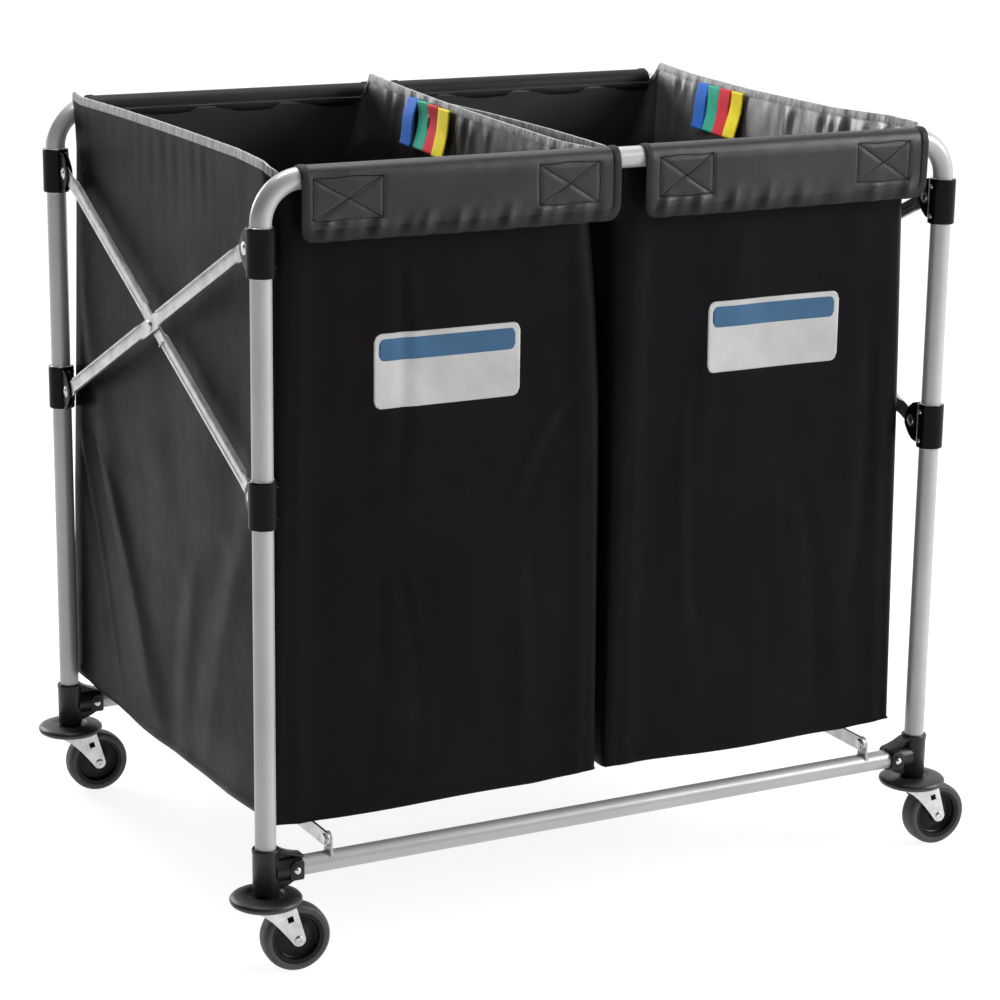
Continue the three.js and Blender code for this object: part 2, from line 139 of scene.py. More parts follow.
def soft_box(name, place, aim, size, power):
    """A large square lamp at place, turned towards aim, in metres."""
    data = bpy.data.lights.new(name, "AREA")
    data.size = size
    data.energy = power
    lamp = linked(name, data)
    lamp.location = place
    lamp.rotation_euler = (Vector(aim) - Vector(place)).to_track_quat("-Z", "Y").to_euler()


def add_node(tree, kind, inputs=(), **settings):
    """A new node: settings are its own, and inputs its sockets' links or values."""
    made = tree.nodes.new(kind)
    for key, value in settings.items():
        setattr(made, key, value)
    for key, value in dict(inputs).items():
        if isinstance(value, bpy.types.NodeSocket):
            tree.links.new(value, made.inputs[key])
        else:
            made.inputs[key].default_value = value
    return made


def light_studio():
    """A white sweep behind and to the right, dimmer towards the front and the left, and four soft boxes."""
    world = bpy.data.worlds.new("studio")
    world.use_nodes = True
    tree = world.node_tree
    inputs = {0: add_node(tree, "ShaderNodeTexCoord").outputs["Generated"], 1: STUDIO_BRIGHT_SIDE}
    facing = add_node(tree, "ShaderNodeVectorMath", inputs, operation="DOT_PRODUCT").outputs["Value"]
    inputs = {"Value": facing, "From Min": -0.35, "From Max": 0.6}
    inputs |= {"To Min": STUDIO_DIM, "To Max": STUDIO_BRIGHT}
    sweep = add_node(tree, "ShaderNodeMapRange", inputs, interpolation_type="SMOOTHSTEP").outputs["Result"]
    background = tree.nodes["Background"]
    background.inputs["Color"].default_value = (1, 1, 1, 1)
    tree.links.new(sweep, background.inputs["Strength"])
    bpy.context.scene.world = world
    bpy.context.scene.view_settings.view_transform = "Standard"
    soft_box("key", (3.0, -2.2, 2.1), (0, 0, 0.5), 1.5, 125)
    soft_box("top", (0.3, 0.5, 3.1), (0, 0, 0.5), 1.8, 34)
    soft_box("back", (-1.25, 2.9, 1.6), (0.2, 0, 0.62), 1.5, 50)
    soft_box("inside", (-0.38, 0.1, 1.9), (0.2, 0.1, 0.8), 0.5, 8)


def make_floor():
    """A wide pale floor that glows a little, as a lit white sweep does."""
    bpy.ops.mesh.primitive_plane_add(size=200)
    floor = bpy.context.object
    floor.name = "studio_floor"
    f = Finish("studio_floor", (0.24, 0.24, 0.24), 0.7, 0, 0.2)
    f.shader.inputs["Emission Color"].default_value = (1, 1, 1, 1)
    f.shader.inputs["Emission Strength"].default_value = FLOOR_GLOW
    f.vary_color(f.noise(f.coordinates(), 3, 2), 0.995, 1.005)
    floor.data.materials.append(f.material)


make_camera()
light_studio()

# ---- Materials ----


class Finish:
    """A procedural material round one Principled shader."""

    def __init__(self, name, color, roughness, metallic=0.0, specular=0.5):
        self.material = bpy.data.materials.new(name)
        self.material.use_nodes = True
        self.tree = self.material.node_tree
        self.shader = self.tree.nodes["Principled BSDF"]
        self.material.diffuse_color = (*color, 1)
        self.shader.inputs["Base Color"].default_value = (*color, 1)
        self.shader.inputs["Roughness"].default_value = roughness
        self.shader.inputs["Metallic"].default_value = metallic
        self.shader.inputs["Specular IOR Level"].default_value = specular
        self.color = color
        self.roughness = roughness
        self.height = None

    def node(self, kind, inputs=(), **settings):
        return add_node(self.tree, kind, inputs, **settings)

    def coordinates(self, kind="Object", scale=(1, 1, 1)):
        source = self.node("ShaderNodeTexCoord").outputs[kind]
        return self.node("ShaderNodeMapping", {"Vector": source, "Scale": scale}).outputs["Vector"]

    def noise(self, vector, scale, detail, rough=0.5, distort=0.0):
        inputs = {"Vector": vector, "Scale": scale, "Detail": detail}
        inputs |= {"Roughness": rough, "Distortion": distort}
        return self.node("ShaderNodeTexNoise", inputs).outputs["Fac"]

    def ranged(self, value, from_low, from_high, to_low, to_high):
        inputs = {0: value, 1: from_low, 2: from_high, 3: to_low, 4: to_high}
        return self.node("ShaderNodeMapRange", inputs).outputs[0]

    def vary_color(self, value, darkest, lightest):
        """The base colour runs between two shares of itself as value goes from 0.3 to 0.7."""
        dark, light = (tuple(c * share for c in self.color) + (1,) for share in (darkest, lightest))
        inputs = {0: self.ranged(value, 0.3, 0.7, 0.0, 1.0), 6: dark, 7: light}
        mixed = self.node("ShaderNodeMix", inputs, data_type="RGBA").outputs[2]
        self.tree.links.new(mixed, self.shader.inputs["Base Color"])

    def vary_roughness(self, value, spread):
        socket = self.ranged(value, 0.3, 0.7, self.roughness - spread, self.roughness + spread)
        self.tree.links.new(socket, self.shader.inputs["Roughness"])

    def bump(self, value, distance, strength):
        """Adds a height, in metres, to the surface. Later calls build on earlier ones."""
        inputs = {"Height": value, "Distance": distance, "Strength": strength}
        if self.height is not None:
            inputs["Normal"] = self.height
        self.height = self.node("ShaderNodeBump", inputs).outputs["Normal"]
        self.tree.links.new(self.height, self.shader.inputs["Normal"])

    def weave(self, pitch, distance):
        """Threads that cross at right angles, pitch metres apart. A wave of scale 1 repeats in tau / 20."""
        for axis in ("X", "Y"):
            inputs = {"Vector": self.coordinates("UV"), "Scale": math.tau / (20 * pitch)}
            inputs |= {"Distortion": 0.6, "Detail": 1.0, "Detail Scale": 2.0}
            threads = self.node("ShaderNodeTexWave", inputs, bands_direction=axis).outputs["Fac"]
            self.bump(threads, distance, 0.35)


def painted_steel():
    f = Finish("frame_paint", (0.42, 0.415, 0.425), 0.36, 0.3, 0.6)
    place = f.coordinates()
    f.vary_color(f.noise(place, 9, 4), 0.93, 1.06)
    f.vary_roughness(f.noise(place, 34, 4), 0.05)
    f.bump(f.noise(place, 1300, 2), 0.00012, 0.3)
    f.bump(f.noise(place, 170, 2), 0.0003, 0.12)
    return f.material


def zinc_steel(name, roughness, streak, shade=0.6):
    """Bright plated steel with the lengthways marks of rolling."""
    f = Finish(name, (shade, shade, shade * 1.02), roughness, 0.95)
    place = f.coordinates(scale=streak)
    f.vary_color(f.noise(f.coordinates(), 60, 4, 0.6), 0.78, 1.16)
    f.vary_roughness(f.noise(place, 160, 5, 0.65), 0.09)
    f.bump(f.noise(place, 700, 3), 0.0001, 0.3)
    return f.material


def coated_cloth(name, color, roughness, specular, metallic=0.0, crumple=0.25):
    """Coated nylon: a fine weave under a soft gloss, with small crumples and a cloudy colour."""
    f = Finish(name, color, roughness, metallic, specular)
    place = f.coordinates("UV")
    f.vary_color(f.noise(place, 7, 5, 0.6), 0.8, 1.25)
    f.vary_roughness(f.noise(place, 16, 4, 0.6), 0.07)
    f.weave(0.0009, 0.00012)
    f.bump(f.noise(place, 26, 5, 0.55, 0.5), 0.0022, crumple)
    f.bump(f.noise(f.coordinates("UV", (1.6, 0.8, 1)), 6, 3, 0.5), 0.009, crumple)
    return f.material


def woven_tape(name, color, fleck, ribs, roughness=0.6, specular=0.3, contrast=0.5):
    """Narrow tape or thread: ribs across it, flecked where the yarn catches the light."""
    f = Finish(name, color, roughness, 0, specular)
    place = f.coordinates("Object", ribs)
    f.vary_color(f.noise(place, fleck, 4, 0.7), 1 - contrast, 1 + 2 * contrast)
    f.vary_roughness(f.noise(place, fleck, 2), 0.08)
    f.bump(f.noise(place, fleck, 3, 0.6), 0.0006, 0.5)
    return f.material


def ribbon_satin(name, color):
    f = Finish(name, color, 0.5, 0, 0.2)
    f.shader.inputs["Sheen Weight"].default_value = 0.08
    place = f.coordinates("UV")
    f.vary_color(f.noise(place, 42, 4, 0.6), 0.82, 1.18)
    f.vary_roughness(f.noise(place, 70, 3), 0.06)
    f.weave(0.0007, 0.0002)
    return f.material


def moulded_plastic(name, color, roughness, specular, grain=1500, depth=0.0002):
    f = Finish(name, color, roughness, 0, specular)
    place = f.coordinates()
    f.vary_color(f.noise(place, 30, 4), 0.8, 1.25)
    f.vary_roughness(f.noise(place, 90, 3), 0.06)
    f.bump(f.noise(place, grain, 2), depth, 0.3)
    return f.material


def tyre_rubber():
    f = Finish("wheel_rubber", (0.05, 0.05, 0.054), 0.55, 0, 0.35)
    place = f.coordinates()
    f.vary_color(f.noise(place, 45, 5, 0.65), 0.75, 1.3)
    f.vary_roughness(f.noise(place, 120, 3), 0.08)
    f.bump(f.noise(place, 900, 3), 0.0003, 0.35)
    return f.material


PAINT = painted_steel()
ZINC = zinc_steel("rivet_zinc", 0.26, (1, 1, 1))
ARM_ZINC = zinc_steel("arm_zinc", 0.36, (1, 0.08, 0.3), 0.52)
FORK_ZINC = zinc_steel("fork_zinc", 0.3, (0.5, 1, 0.5))
CLAMP_BLACK = moulded_plastic("clamp_black", (0.004, 0.004, 0.005), 0.22, 0.1, 700, 0.00006)
FOOT_PLASTIC = moulded_plastic("foot_plastic", (0.01, 0.0095, 0.011), 0.36, 0.3)
BUMPER_VINYL = moulded_plastic("bumper_vinyl", (0.01, 0.0095, 0.011), 0.42, 0.6, 900, 0.0001)
HUB_PLASTIC = moulded_plastic("hub_plastic", (0.006, 0.006, 0.007), 0.4, 0.2)
TYRE_RUBBER = tyre_rubber()
BAG_CLOTH = coated_cloth("bag_cloth", (0.0062, 0.0053, 0.0067), 0.33, 0.045)
BAG_LINING = coated_cloth("bag_lining", (0.032, 0.031, 0.032), 0.42, 0.2, 0.3, 0.1)
# Lighter copies of the lining for the inside of each bag's right-hand wall: a painted sheen, brighter in the
# right bag than in the left.
SHEEN_PAINTED_LINING = {
    "left": coated_cloth("dim_painted_sheen_lining", (0.12, 0.117, 0.122), 0.36, 0.4, 0.85, 0.16),
    "right": coated_cloth("bright_painted_sheen_lining", (0.25, 0.247, 0.255), 0.36, 0.4, 0.85, 0.16),
}
WRAP_CLOTH = coated_cloth("wrap_cloth", (0.012, 0.0113, 0.0125), 0.42, 0.12)
FLAP_CLOTH = coated_cloth("flap_cloth", (0.0132, 0.013, 0.0139), 0.34, 0.38, 0.0, 0.24)
BINDING = woven_tape("edge_binding", (0.16, 0.16, 0.165), 300, (1, 1, 0.1), 0.4, 0.8, 0.95)
PIPING = woven_tape("flap_piping", (0.004, 0.004, 0.0045), 500, (0.3, 1, 1))
THREAD = woven_tape("stitching_thread", (0.002, 0.002, 0.002), 900, (1, 1, 1), 0.8, 0.05)
PANEL = coated_cloth("panel_print", (0.46, 0.46, 0.452), 0.5, 0.3)
PANEL_BAND = coated_cloth("panel_band_print", (0.03, 0.1, 0.2), 0.5, 0.3)
RIBBON_COLORS = {"blue": (0.015, 0.16, 0.68), "green": (0.03, 0.5, 0.33), "red": (0.8, 0.02, 0.035),
                 "yellow": (1.0, 0.82, 0.01)}
RIBBONS = [(name, ribbon_satin(f"ribbon_{name}", color)) for name, color in RIBBON_COLORS.items()]

# ---- Shapes: each is (points, faces) in millimetres ----

ACROSS_X = Matrix(((0, 0, 1, 0), (1, 0, 0, 0), (0, 1, 0, 0), (0, 0, 0, 1)))  # (x, y) becomes (Y, Z)
ACROSS_Y = Matrix(((1, 0, 0, 0), (0, 0, -1, 0), (0, 1, 0, 0), (0, 0, 0, 1)))  # (x, y) becomes (X, Z)


def turned(degrees, axis):
    """A turn about the axis of that letter."""
    return Matrix.Rotation(math.radians(degrees), 4, axis)


def at(x, y, z, turn=0.0):
    """A place in millimetres, turned about Z by degrees."""
    return Matrix.Translation((x, y, z)) @ turned(turn, "Z")


def arc(centre, radius, start, end, count):
    """Points on a circle from one angle to another, in degrees."""
    angles = [math.radians(start + (end - start) * i / count) for i in range(count + 1)]
    return [(centre[0] + radius * math.cos(a), centre[1] + radius * math.sin(a)) for a in angles]


def revolved(profile, count):
    """A solid turned about Z. Its (radius, height) points end on the axis or else form a closed loop."""
    points, rings, faces = [], [], []
    for radius, height in profile:
        turns = [math.tau * i / count for i in range(count)] if radius > 0 else [0]
        rings.append(range(len(points), len(points) + len(turns)))
        points += [(radius * math.cos(a), radius * math.sin(a), height) for a in turns]
    pairs = list(zip(rings, rings[1:]))
    if profile[0][0] > 0:
        pairs.append((rings[-1], rings[0]))
    for low, high in pairs:
        for i in range(count):
            j = (i + 1) % count
            corners = [low[i % len(low)], low[j % len(low)], high[j % len(high)], high[i % len(high)]]
            faces.append(tuple(dict.fromkeys(corners)))
    return points, faces


def pin(radius, low, high, count=20):
    """A round pin along Z."""
    return revolved([(0, low), (radius, low), (radius, high), (0, high)], count)


def lofted(rings):
    """Joins rings of equal length, each a closed loop of points, and caps both ends."""
    count = len(rings[0])
    points = [p for loop in rings for p in loop]
    faces = []
    for k in range(len(rings) - 1):
        for i in range(count):
            j = (i + 1) % count
            faces.append((k * count + i, k * count + j, (k + 1) * count + j, (k + 1) * count + i))
    faces.append(tuple(range(count))[::-1])
    faces.append(tuple(range((len(rings) - 1) * count, len(rings) * count)))
    return points, faces


def tube(path, radius, count, side=(0, 1, 0)):
    """A round tube along a path. side is a direction across the whole path."""
    path = [Vector(p) for p in path]
    side = Vector(side)
    rings = []
    for k, point in enumerate(path):
        along = (path[min(k + 1, len(path) - 1)] - path[max(k - 1, 0)]).normalized()
        normal = side.cross(along).normalized()
        turns = [math.tau * i / count for i in range(count)]
        rings.append([point + radius * (math.cos(a) * normal + math.sin(a) * side) for a in turns])
    return lofted(rings)


def plate(loops, thickness, edge):
    """A flat sheet centred on its own XY plane, with rounded edges. Loops after the first are holes."""
    curve = bpy.data.curves.new("outline", "CURVE")
    curve.dimensions = "2D"
    curve.fill_mode = "BOTH"
    curve.extrude = thickness / 2 - edge
    curve.bevel_depth = edge
    curve.bevel_resolution = 2
    curve.offset = -edge
    for loop in loops:
        spline = curve.splines.new("POLY")
        spline.points.add(len(loop) - 1)
        for point, (x, y) in zip(spline.points, loop):
            point.co = (x, y, 0, 1)
        spline.use_cyclic_u = True
    holder = linked("outline", curve)
    data = bpy.data.meshes.new_from_object(holder.evaluated_get(bpy.context.evaluated_depsgraph_get()))
    shape = [tuple(v.co) for v in data.vertices], [tuple(p.vertices) for p in data.polygons]
    bpy.data.objects.remove(holder)
    bpy.data.curves.remove(curve)
    bpy.data.meshes.remove(data)
    return shape


def domed(radius, height, foot=0.0, count=24):
    """A rivet head that stands on z = -foot and rises to height."""
    crown = [(radius * math.cos(a), height * math.sin(a)) for a in np.linspace(0.12, math.pi / 2 - 0.12, 6)]
    return revolved([(0, -foot), (radius, -foot), *crown, (0, height)], count)


def mirrored(profile):
    """The points in reverse order, with their second coordinate turned round."""
    return [(x, -y) for x, y in profile[::-1]]


class Piece:
    """Shapes gathered into one object, which may have more than one finish."""

    def __init__(self):
        self.points = []
        self.faces = []
        self.finishes = []  # each face's place in materials
        self.materials = []

    def add(self, shape, material, place=Matrix()):
        points, faces = shape
        first = len(self.points)
        self.points += [place @ Vector(p) for p in points]
        self.faces += [tuple(first + i for i in face) for face in faces]
        if material not in self.materials:
            self.materials.append(material)
        self.finishes += [self.materials.index(material)] * len(faces)
        return self

    def add_rivet(self, low, high, head, place):
        """A rivet along X from low to high, with a domed head of (radius, height) at each end."""
        self.add(pin(PIN_R, low, high), ZINC, place @ turned(90, "Y"))
        for face, x in ((-1, low), (1, high)):
            self.add(domed(*head), ZINC, place @ at(x, 0, 0) @ turned(90 * face, "Y"))
        return self

    def build(self, name, body, slot, replaces=(), crease=38):
        """The finished object, smooth where its faces meet at less than crease degrees."""
        data = bpy.data.meshes.new(name)
        data.from_pydata([p * MM for p in self.points], [], self.faces)
        for material in self.materials:
            data.materials.append(material)
        data.polygons.foreach_set("material_index", self.finishes)
        bm = bmesh.new()
        bm.from_mesh(data)
        bmesh.ops.remove_doubles(bm, verts=bm.verts, dist=0.005 * MM)
        bmesh.ops.recalc_face_normals(bm, faces=bm.faces)
        bm.to_mesh(data)
        bm.free()
        data.shade_smooth()
        data.set_sharp_from_angle(angle=math.radians(crease))
        made = linked(name, data)
        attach(made, body)
        if replaces:
            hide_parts(*replaces)
        return made


# ---- Frame ----


def make_hoop(name, end):
    """Two legs and the top rail, one bent tube."""
    y = end * LEG_Y
    straight = LEG_X - BEND_R
    centre_z = RAIL_TOP_Z - BEND_R
    path = [(-LEG_X, y, LEG_END_Z), (-LEG_X, y, centre_z - 20)]
    for side, start in ((-1, 180), (1, 90)):
        path += [(x, y, z) for x, z in arc((side * straight, centre_z), BEND_R, start, start - 90, 18)]
    path += [(LEG_X, y, centre_z - 20), (LEG_X, y, LEG_END_Z)]
    piece = Piece().add(tube(path, TUBE_R, 40), PAINT)
    piece.build(f"{name}_hoop_tube", f"{name}_frame", "frame_paint", [f"{name}_hoop"])


def make_bottom_rail(name, end):
    """The lower tube with its two brace lugs and their weld beads."""
    y = end * LEG_Y
    shift = -BRACE_PITCH if end > 0 else 0
    piece = Piece().add(tube([(-RAIL_END, y, RAIL_Z), (RAIL_END, y, RAIL_Z)], RAIL_R, 36), PAINT)
    base = RAIL_R - 1
    rise = BRACE_Z - RAIL_Z
    crown = arc((0, rise), base - 2, 0, 180, 14)
    lug = [(-base, 3), (base, 3), (base - 2, RAIL_R + 3), *crown, (2 - base, 14)]
    for side in SIDES.values():
        x = side * BRACE_X + shift
        piece.add(plate([lug], BRACE_SHEET, 0.5), PAINT, at(x, y, RAIL_Z) @ ACROSS_X)
        for face in (-1, 1):
            across = np.linspace(-9, 9, 9)
            bead = [(x + face * 1.9, y + w, RAIL_Z + math.sqrt(RAIL_R**2 - w**2)) for w in across]
            piece.add(tube(bead, 1.1, 10, (1, 0, 0)), PAINT)
    piece.build(f"{name}_rail_tube", f"{name}_frame", "frame_paint", [f"{name}_bottom_rail"])


def make_foot(name, body, side, end):
    """The moulding that takes a leg, the rail's end and the caster's stem."""
    place = at(side * LEG_X, end * LEG_Y, 0, 180 if side > 0 else 0)
    piece = Piece()
    post = [(0, 88.9), (12.6, 88.9), (14.2, 91), (14.2, 136), (14.8, 137), (14.8, 140.3), (14, 141.3)]
    piece.add(revolved([*post, (11.6, 141.3), (11.6, 138), (0, 138)], 44), FOOT_PLASTIC, place)
    barrel = [(0, 8), (13.6, 8), (13.6, 24), (14, 25), (14, 38), (13.2, 39), (11.3, 39), (11.3, 33), (0, 33)]
    piece.add(revolved(barrel, 40), FOOT_PLASTIC, place @ at(0, 0, RAIL_Z) @ turned(90, "Y"))
    roof = [(10, 139), (15, 138.6), (24, 134), (33, 130.8), (41, 129), (41, 126.8), (33, 128), (14, 135)]
    keel = [(10, 92.4), (14, 92.6), (26, 97), (39, 104), (39, 108), (20, 108), (10, 108)]
    web = [(6, 96), (16, 96), (38, 106), (38, 126.4), (34, 129.4), (14, 137), (6, 137)]
    pad = [(24, 104), (37.6, 104), (39, 105.6), (39, 124), (37, 126), (28, 126), (22.4, 120), (22.4, 106)]
    for outline, width, edge in ((roof, 17, 0.7), (keel, 9, 0.8), (web, 7, 0.8), (pad, 28.6, 1.2)):
        piece.add(plate([outline], width, edge), FOOT_PLASTIC, place @ ACROSS_Y)
    for y in (-1, 1):
        head = place @ at(30.6, y * 14.2, RAIL_Z) @ turned(-90 * y, "X")
        piece.add(domed(4.3, 2.4, 0.5), ZINC, head)
        boss = [(4.8, -0.5), (7.6, -0.5), (7.4, 0.5), (6.6, 0.9), (4.8, 0.9)]
        piece.add(revolved(boss, 32), FOOT_PLASTIC, head)
    piece.build(f"{name}_foot_moulding", body, "foot_plastic", [f"{name}_foot"])


def make_bumper(name, body, side, end):
    """The round wall bumper between a foot and its caster."""
    outline = [(0, 79.2), (12, 79.2), (13, 80), (20, 80), (22, 79.2), (31, 79.2), (35.5, 79.6), (37.8, 81)]
    outline += [(39, 83.4), (38.8, 85.4), (37.2, 87.2), (34, 88.6), (29, 89.7), (24, 90.2), (20.5, 90.1)]
    outline += [(19, 89), (18, 88.6), (0, 88.6)]
    piece = Piece().add(revolved(outline, 64), BUMPER_VINYL, at(side * LEG_X, end * LEG_Y, 0))
    piece.build(f"{name}_bumper_ring", body, "bumper_vinyl", [f"{name}_bumper"])


def make_clamp(name, body, side, end, z, plane):
    """A clamp round a leg. plane is where its arm lies, and its clevis points to the inside of the cart."""
    place = at(side * LEG_X, end * LEG_Y, z, 180 if end > 0 else 0)
    half = SLEEVE_HEIGHT / 2
    piece = Piece()
    wall = [(12.9, 0.5 - half), (14.5, -half), (SLEEVE_R, 0.8 - half)]
    piece.add(revolved(wall + mirrored(wall), 44), CLAMP_BLACK, place)
    for rim in (-1, 1):
        lip = ((11.8, -3), (12.8, -3), (12.8, 0.7), (12.3, 1), (11.8, 0.7))
        piece.add(revolved([(r, rim * (half + h)) for r, h in lip], 40), ZINC, place)
    top = [(43, 3.5), (42, 7), (39, half - 14), (34, half - 8)]
    top += [(28, half - 3.5), (22, half - 2), (10, half - 2)]
    ear = mirrored(top) + top
    cheek = 2.2
    reach = 1.5 + cheek / 2
    for face in (-1, 1):
        piece.add(plate([ear], cheek, 0.7), CLAMP_BLACK, place @ at(plane + face * reach, 0, 0) @ ACROSS_X)
        head = place @ at(plane + face * (reach + cheek / 2), PIVOT_REACH, 0) @ turned(90 * face, "Y")
        piece.add(domed(5.5, 2.2), ZINC, head)
        piece.add(revolved([(5.4, -0.1), (7, -0.1), (7, 0.5), (5.4, 0.8)], 28), ZINC, head)
    piece.add(pin(PIN_R, -reach - 1, reach + 1), ZINC, place @ at(plane, PIVOT_REACH, 0) @ turned(90, "Y"))
    inner = -side if end < 0 else side
    for height in (-17, 17):
        rivet = place @ at(inner * SLEEVE_R, 0, height) @ turned(90 * inner, "Y")
        piece.add(domed(2.5, 1.3, 0.6, 16), ZINC, rivet)
    piece.build(f"{name}_body", body, "clamp_black", [name])


def arm_shape(wall_side):
    """A pressed channel along Y whose ends and middle are flat. Its walls stand to wall_side of the web."""
    sheet = 2.4
    round_end = 8
    end = ARM_HALF + round_end
    stations = [end - d for d in (0, 0.4, 1.4, 3, 5.2, 8, 16, 27, 31, 34, 37, 40, 44, 60)]
    stations += [37, 33, 30, 27, 24, 14, 0]
    stations += [-s for s in stations[-2::-1]]
    rings = []
    for s in stations:
        run = abs(s)
        past = max(0.0, run - ARM_HALF)
        width = math.sqrt(max(0.05, 1 - (past / (round_end + 0.05)) ** 2))
        # The walls rise from nothing at the flat ends and middle to their full depth in between.
        raised = min(max(0.0, (run - 24) / 9), max(0.0, (end - 31 - run) / 9), 1.0)
        raised = raised * raised * (3 - 2 * raised)
        w = (8.9 - 0.9 * raised) * width
        h = sheet + (ARM_DEPTH + 1.2 - sheet - 0.02) * raised + 0.02
        groove = [(r * width, d * raised) for r, d in ((-3, 0), (-1.9, 0.8), (1.9, 0.8), (3, 0))]
        edge = 1.3 * width
        section = [(-w, h), (-w, 1.3), (edge - w, 0), *groove, (w - edge, 0), (w, 1.3), (w, h)]
        inner = w - min(1.7, w / 2)
        root = inner - 0.4 * raised
        section += [(inner, h), (root, sheet), (-root, sheet), (-inner, h)]
        rings.append([(wall_side * (v - sheet / 2), s, u) for u, v in section])
    return lofted(rings)


def make_arms():
    """Two crossed arms a side and the rivet that joins them. The inner arm carries a small pressed tab."""
    for side_name, side in SIDES.items():
        for kind, sign in (("outer", 1), ("inner", -1)):
            body = f"{side_name}_{kind}_arm"
            lean = Matrix.Rotation(-sign * ARM_ANGLE, 4, "X")
            place = at(side * (LEG_X + sign * ARM_PLANE), 0, CROSS_Z) @ lean
            piece = Piece().add(arm_shape(sign * side), ARM_ZINC, place)
            if kind == "inner":
                tab = [(-6, 0), (6, 0), (6, 9), (4.5, 11), (-4.5, 11), (-6, 9)]
                fold = place @ at(-side * 2.2, -30, -7) @ turned(25, "X")
                piece.add(plate([tab], 1.6, 0.5), ARM_ZINC, fold @ ACROSS_Y)
            piece.build(f"{body}_channel", body, "zinc_steel", [body], 30)
        grip = ARM_PLANE + 1.5
        rivet = Piece().add_rivet(-grip, grip, (6.2, 2.2), at(side * LEG_X, 0, CROSS_Z))
        node = f"{side_name}_cross_rivet"
        rivet.build(f"{node}_pin", f"{side_name}_outer_arm", "zinc_steel", [node])


def make_braces():
    """The base braces: two flat bars a side, with a rivet at each lug and one where the bars meet."""
    half = 8.5
    outline = [*arc((LEG_Y, 0), half, -90, 90, 14), *arc((0, 0), half, 90, 270, 14)]
    for side_name, side in SIDES.items():
        lug = side * BRACE_X
        for end_name, end, x in (("front", -1, lug - BRACE_PITCH), ("rear", 1, lug - 2 * BRACE_PITCH)):
            place = at(x, end * LEG_Y, BRACE_Z, 180 if end > 0 else 0)
            piece = Piece().add(plate([outline], BRACE_SHEET, 0.5), ARM_ZINC, place @ ACROSS_X)
            piece.add(domed(6, 1.8, 0.1), ZINC, place @ at(BRACE_SHEET / 2, LEG_Y, 0) @ turned(90, "Y"))
            name = f"{side_name}_{end_name}_brace"
            piece.build(f"{name}_flat", name, "zinc_steel", [f"{name}_bar"])
            middle = at(x + BRACE_PITCH, end * LEG_Y, BRACE_Z)
            rivet = Piece().add_rivet(-BRACE_PITCH - 1.8, 1.8, (6.2, 2), middle)
            node = f"{end_name}_{side_name}_brace_rivet"
            rivet.build(f"{node}_pin", f"{end_name}_frame", "zinc_steel", [node])


def make_caster(name, side, end):
    """A swivel caster. Its parts are drawn about the swivel axis, with the wheel trailing towards +X."""
    place = at(side * LEG_X, end * LEG_Y, 0, CASTER_YAW[name])
    wheel = place @ at(TRAIL, 0, WHEEL_R) @ turned(-90, "X")
    fork = Piece()
    nose = arc((TRAIL, WHEEL_R), 7.6, 214, 370.8, 22)
    front = [(-19, 77.4), (-19, 75.6), (-14, 73.4), (-6, 68.6), (2, 61.8), (10, 53.2), (18, 43.4)]
    cheek = [*front, *nose, (28.5, 77.4)]
    bore = arc((TRAIL, WHEEL_R), 4.2, 0, 345, 23)
    window = arc((22.6, 62), 4.7, 60, 330, 3)
    for y in (-14.2, 14.2):
        fork.add(plate([cheek, bore, window], 2, 0.5), FORK_ZINC, place @ at(0, y, 0) @ ACROSS_Y)
    crown = [*arc((0, 0), 20, 50, 310, 30), (28.5, -15.2), (28.5, 15.2)]
    fork.add(plate([crown], 2.3, 0.6), FORK_ZINC, place @ at(0, 0, 77.45))
    for y in (-1, 1):
        bend = [(x, y * 14.1, 77.3) for x in (-19, 28.4)]
        fork.add(tube(bend, 1.15, 14), FORK_ZINC, place)
    raceway = [(0, 69.8), (9, 69.8), (11.5, 71.2), (12.4, 73.4), (12.8, 76.5), (0, 76.5)]
    fork.add(revolved(raceway, 36), FORK_ZINC, place)
    fork.add(revolved([(0, 76), (5.6, 76), (5.6, 98), (4.4, 99.5), (0, 99.5)], 24), FORK_ZINC, place)
    fork.build(f"{name}_fork_plates", f"{name}_caster", "zinc_steel", [f"{name}_fork"], 32)

    end_y = 15.5
    axle = Piece().add(pin(3.9, -end_y, end_y, 24), ZINC, wheel)
    head = [(0, 0), (4.6, 0), (4.5, 0.7), (3.8, 1.2), (2.2, 1.3), (1.7, 0.7), (0, 0.7)]
    for turn in (180, 0):
        axle.add(revolved(head, 28), ZINC, wheel @ turned(turn, "X") @ at(0, 0, end_y - 0.1))
    axle.build(f"{name}_axle_pin", f"{name}_caster", "axle_steel", [f"{name}_axle"])

    half = [(4.2, 12.6), (8.6, 12.6), (9.2, 12), (9.8, 8.6), (11.4, 7.4), (15, 6.6), (17, 5.2), (22.4, 4.6)]
    half += [(23.6, 5.4), (24.4, 9.4), (25.2, 10.4), (28.7, 10.8)]
    hub = Piece().add(revolved(half + mirrored(half), 48), HUB_PLASTIC, wheel)
    hub.build(f"{name}_wheel_hub", f"{name}_wheel", "hub_plastic", [f"{name}_hub"])

    wall = [(29.1, 11.2), (30.2, 11.7), (33.6, 11.8), (35.3, 11), (36.6, 9.3), (37.3, 6.5), (WHEEL_R, 3)]
    tread = [*wall, (WHEEL_R, 0), *mirrored(wall)]
    tyre = Piece().add(revolved(tread, 64), TYRE_RUBBER, wheel)
    tyre.build(f"{name}_wheel_tyre", f"{name}_wheel", "wheel_rubber", [f"{name}_tyre"])


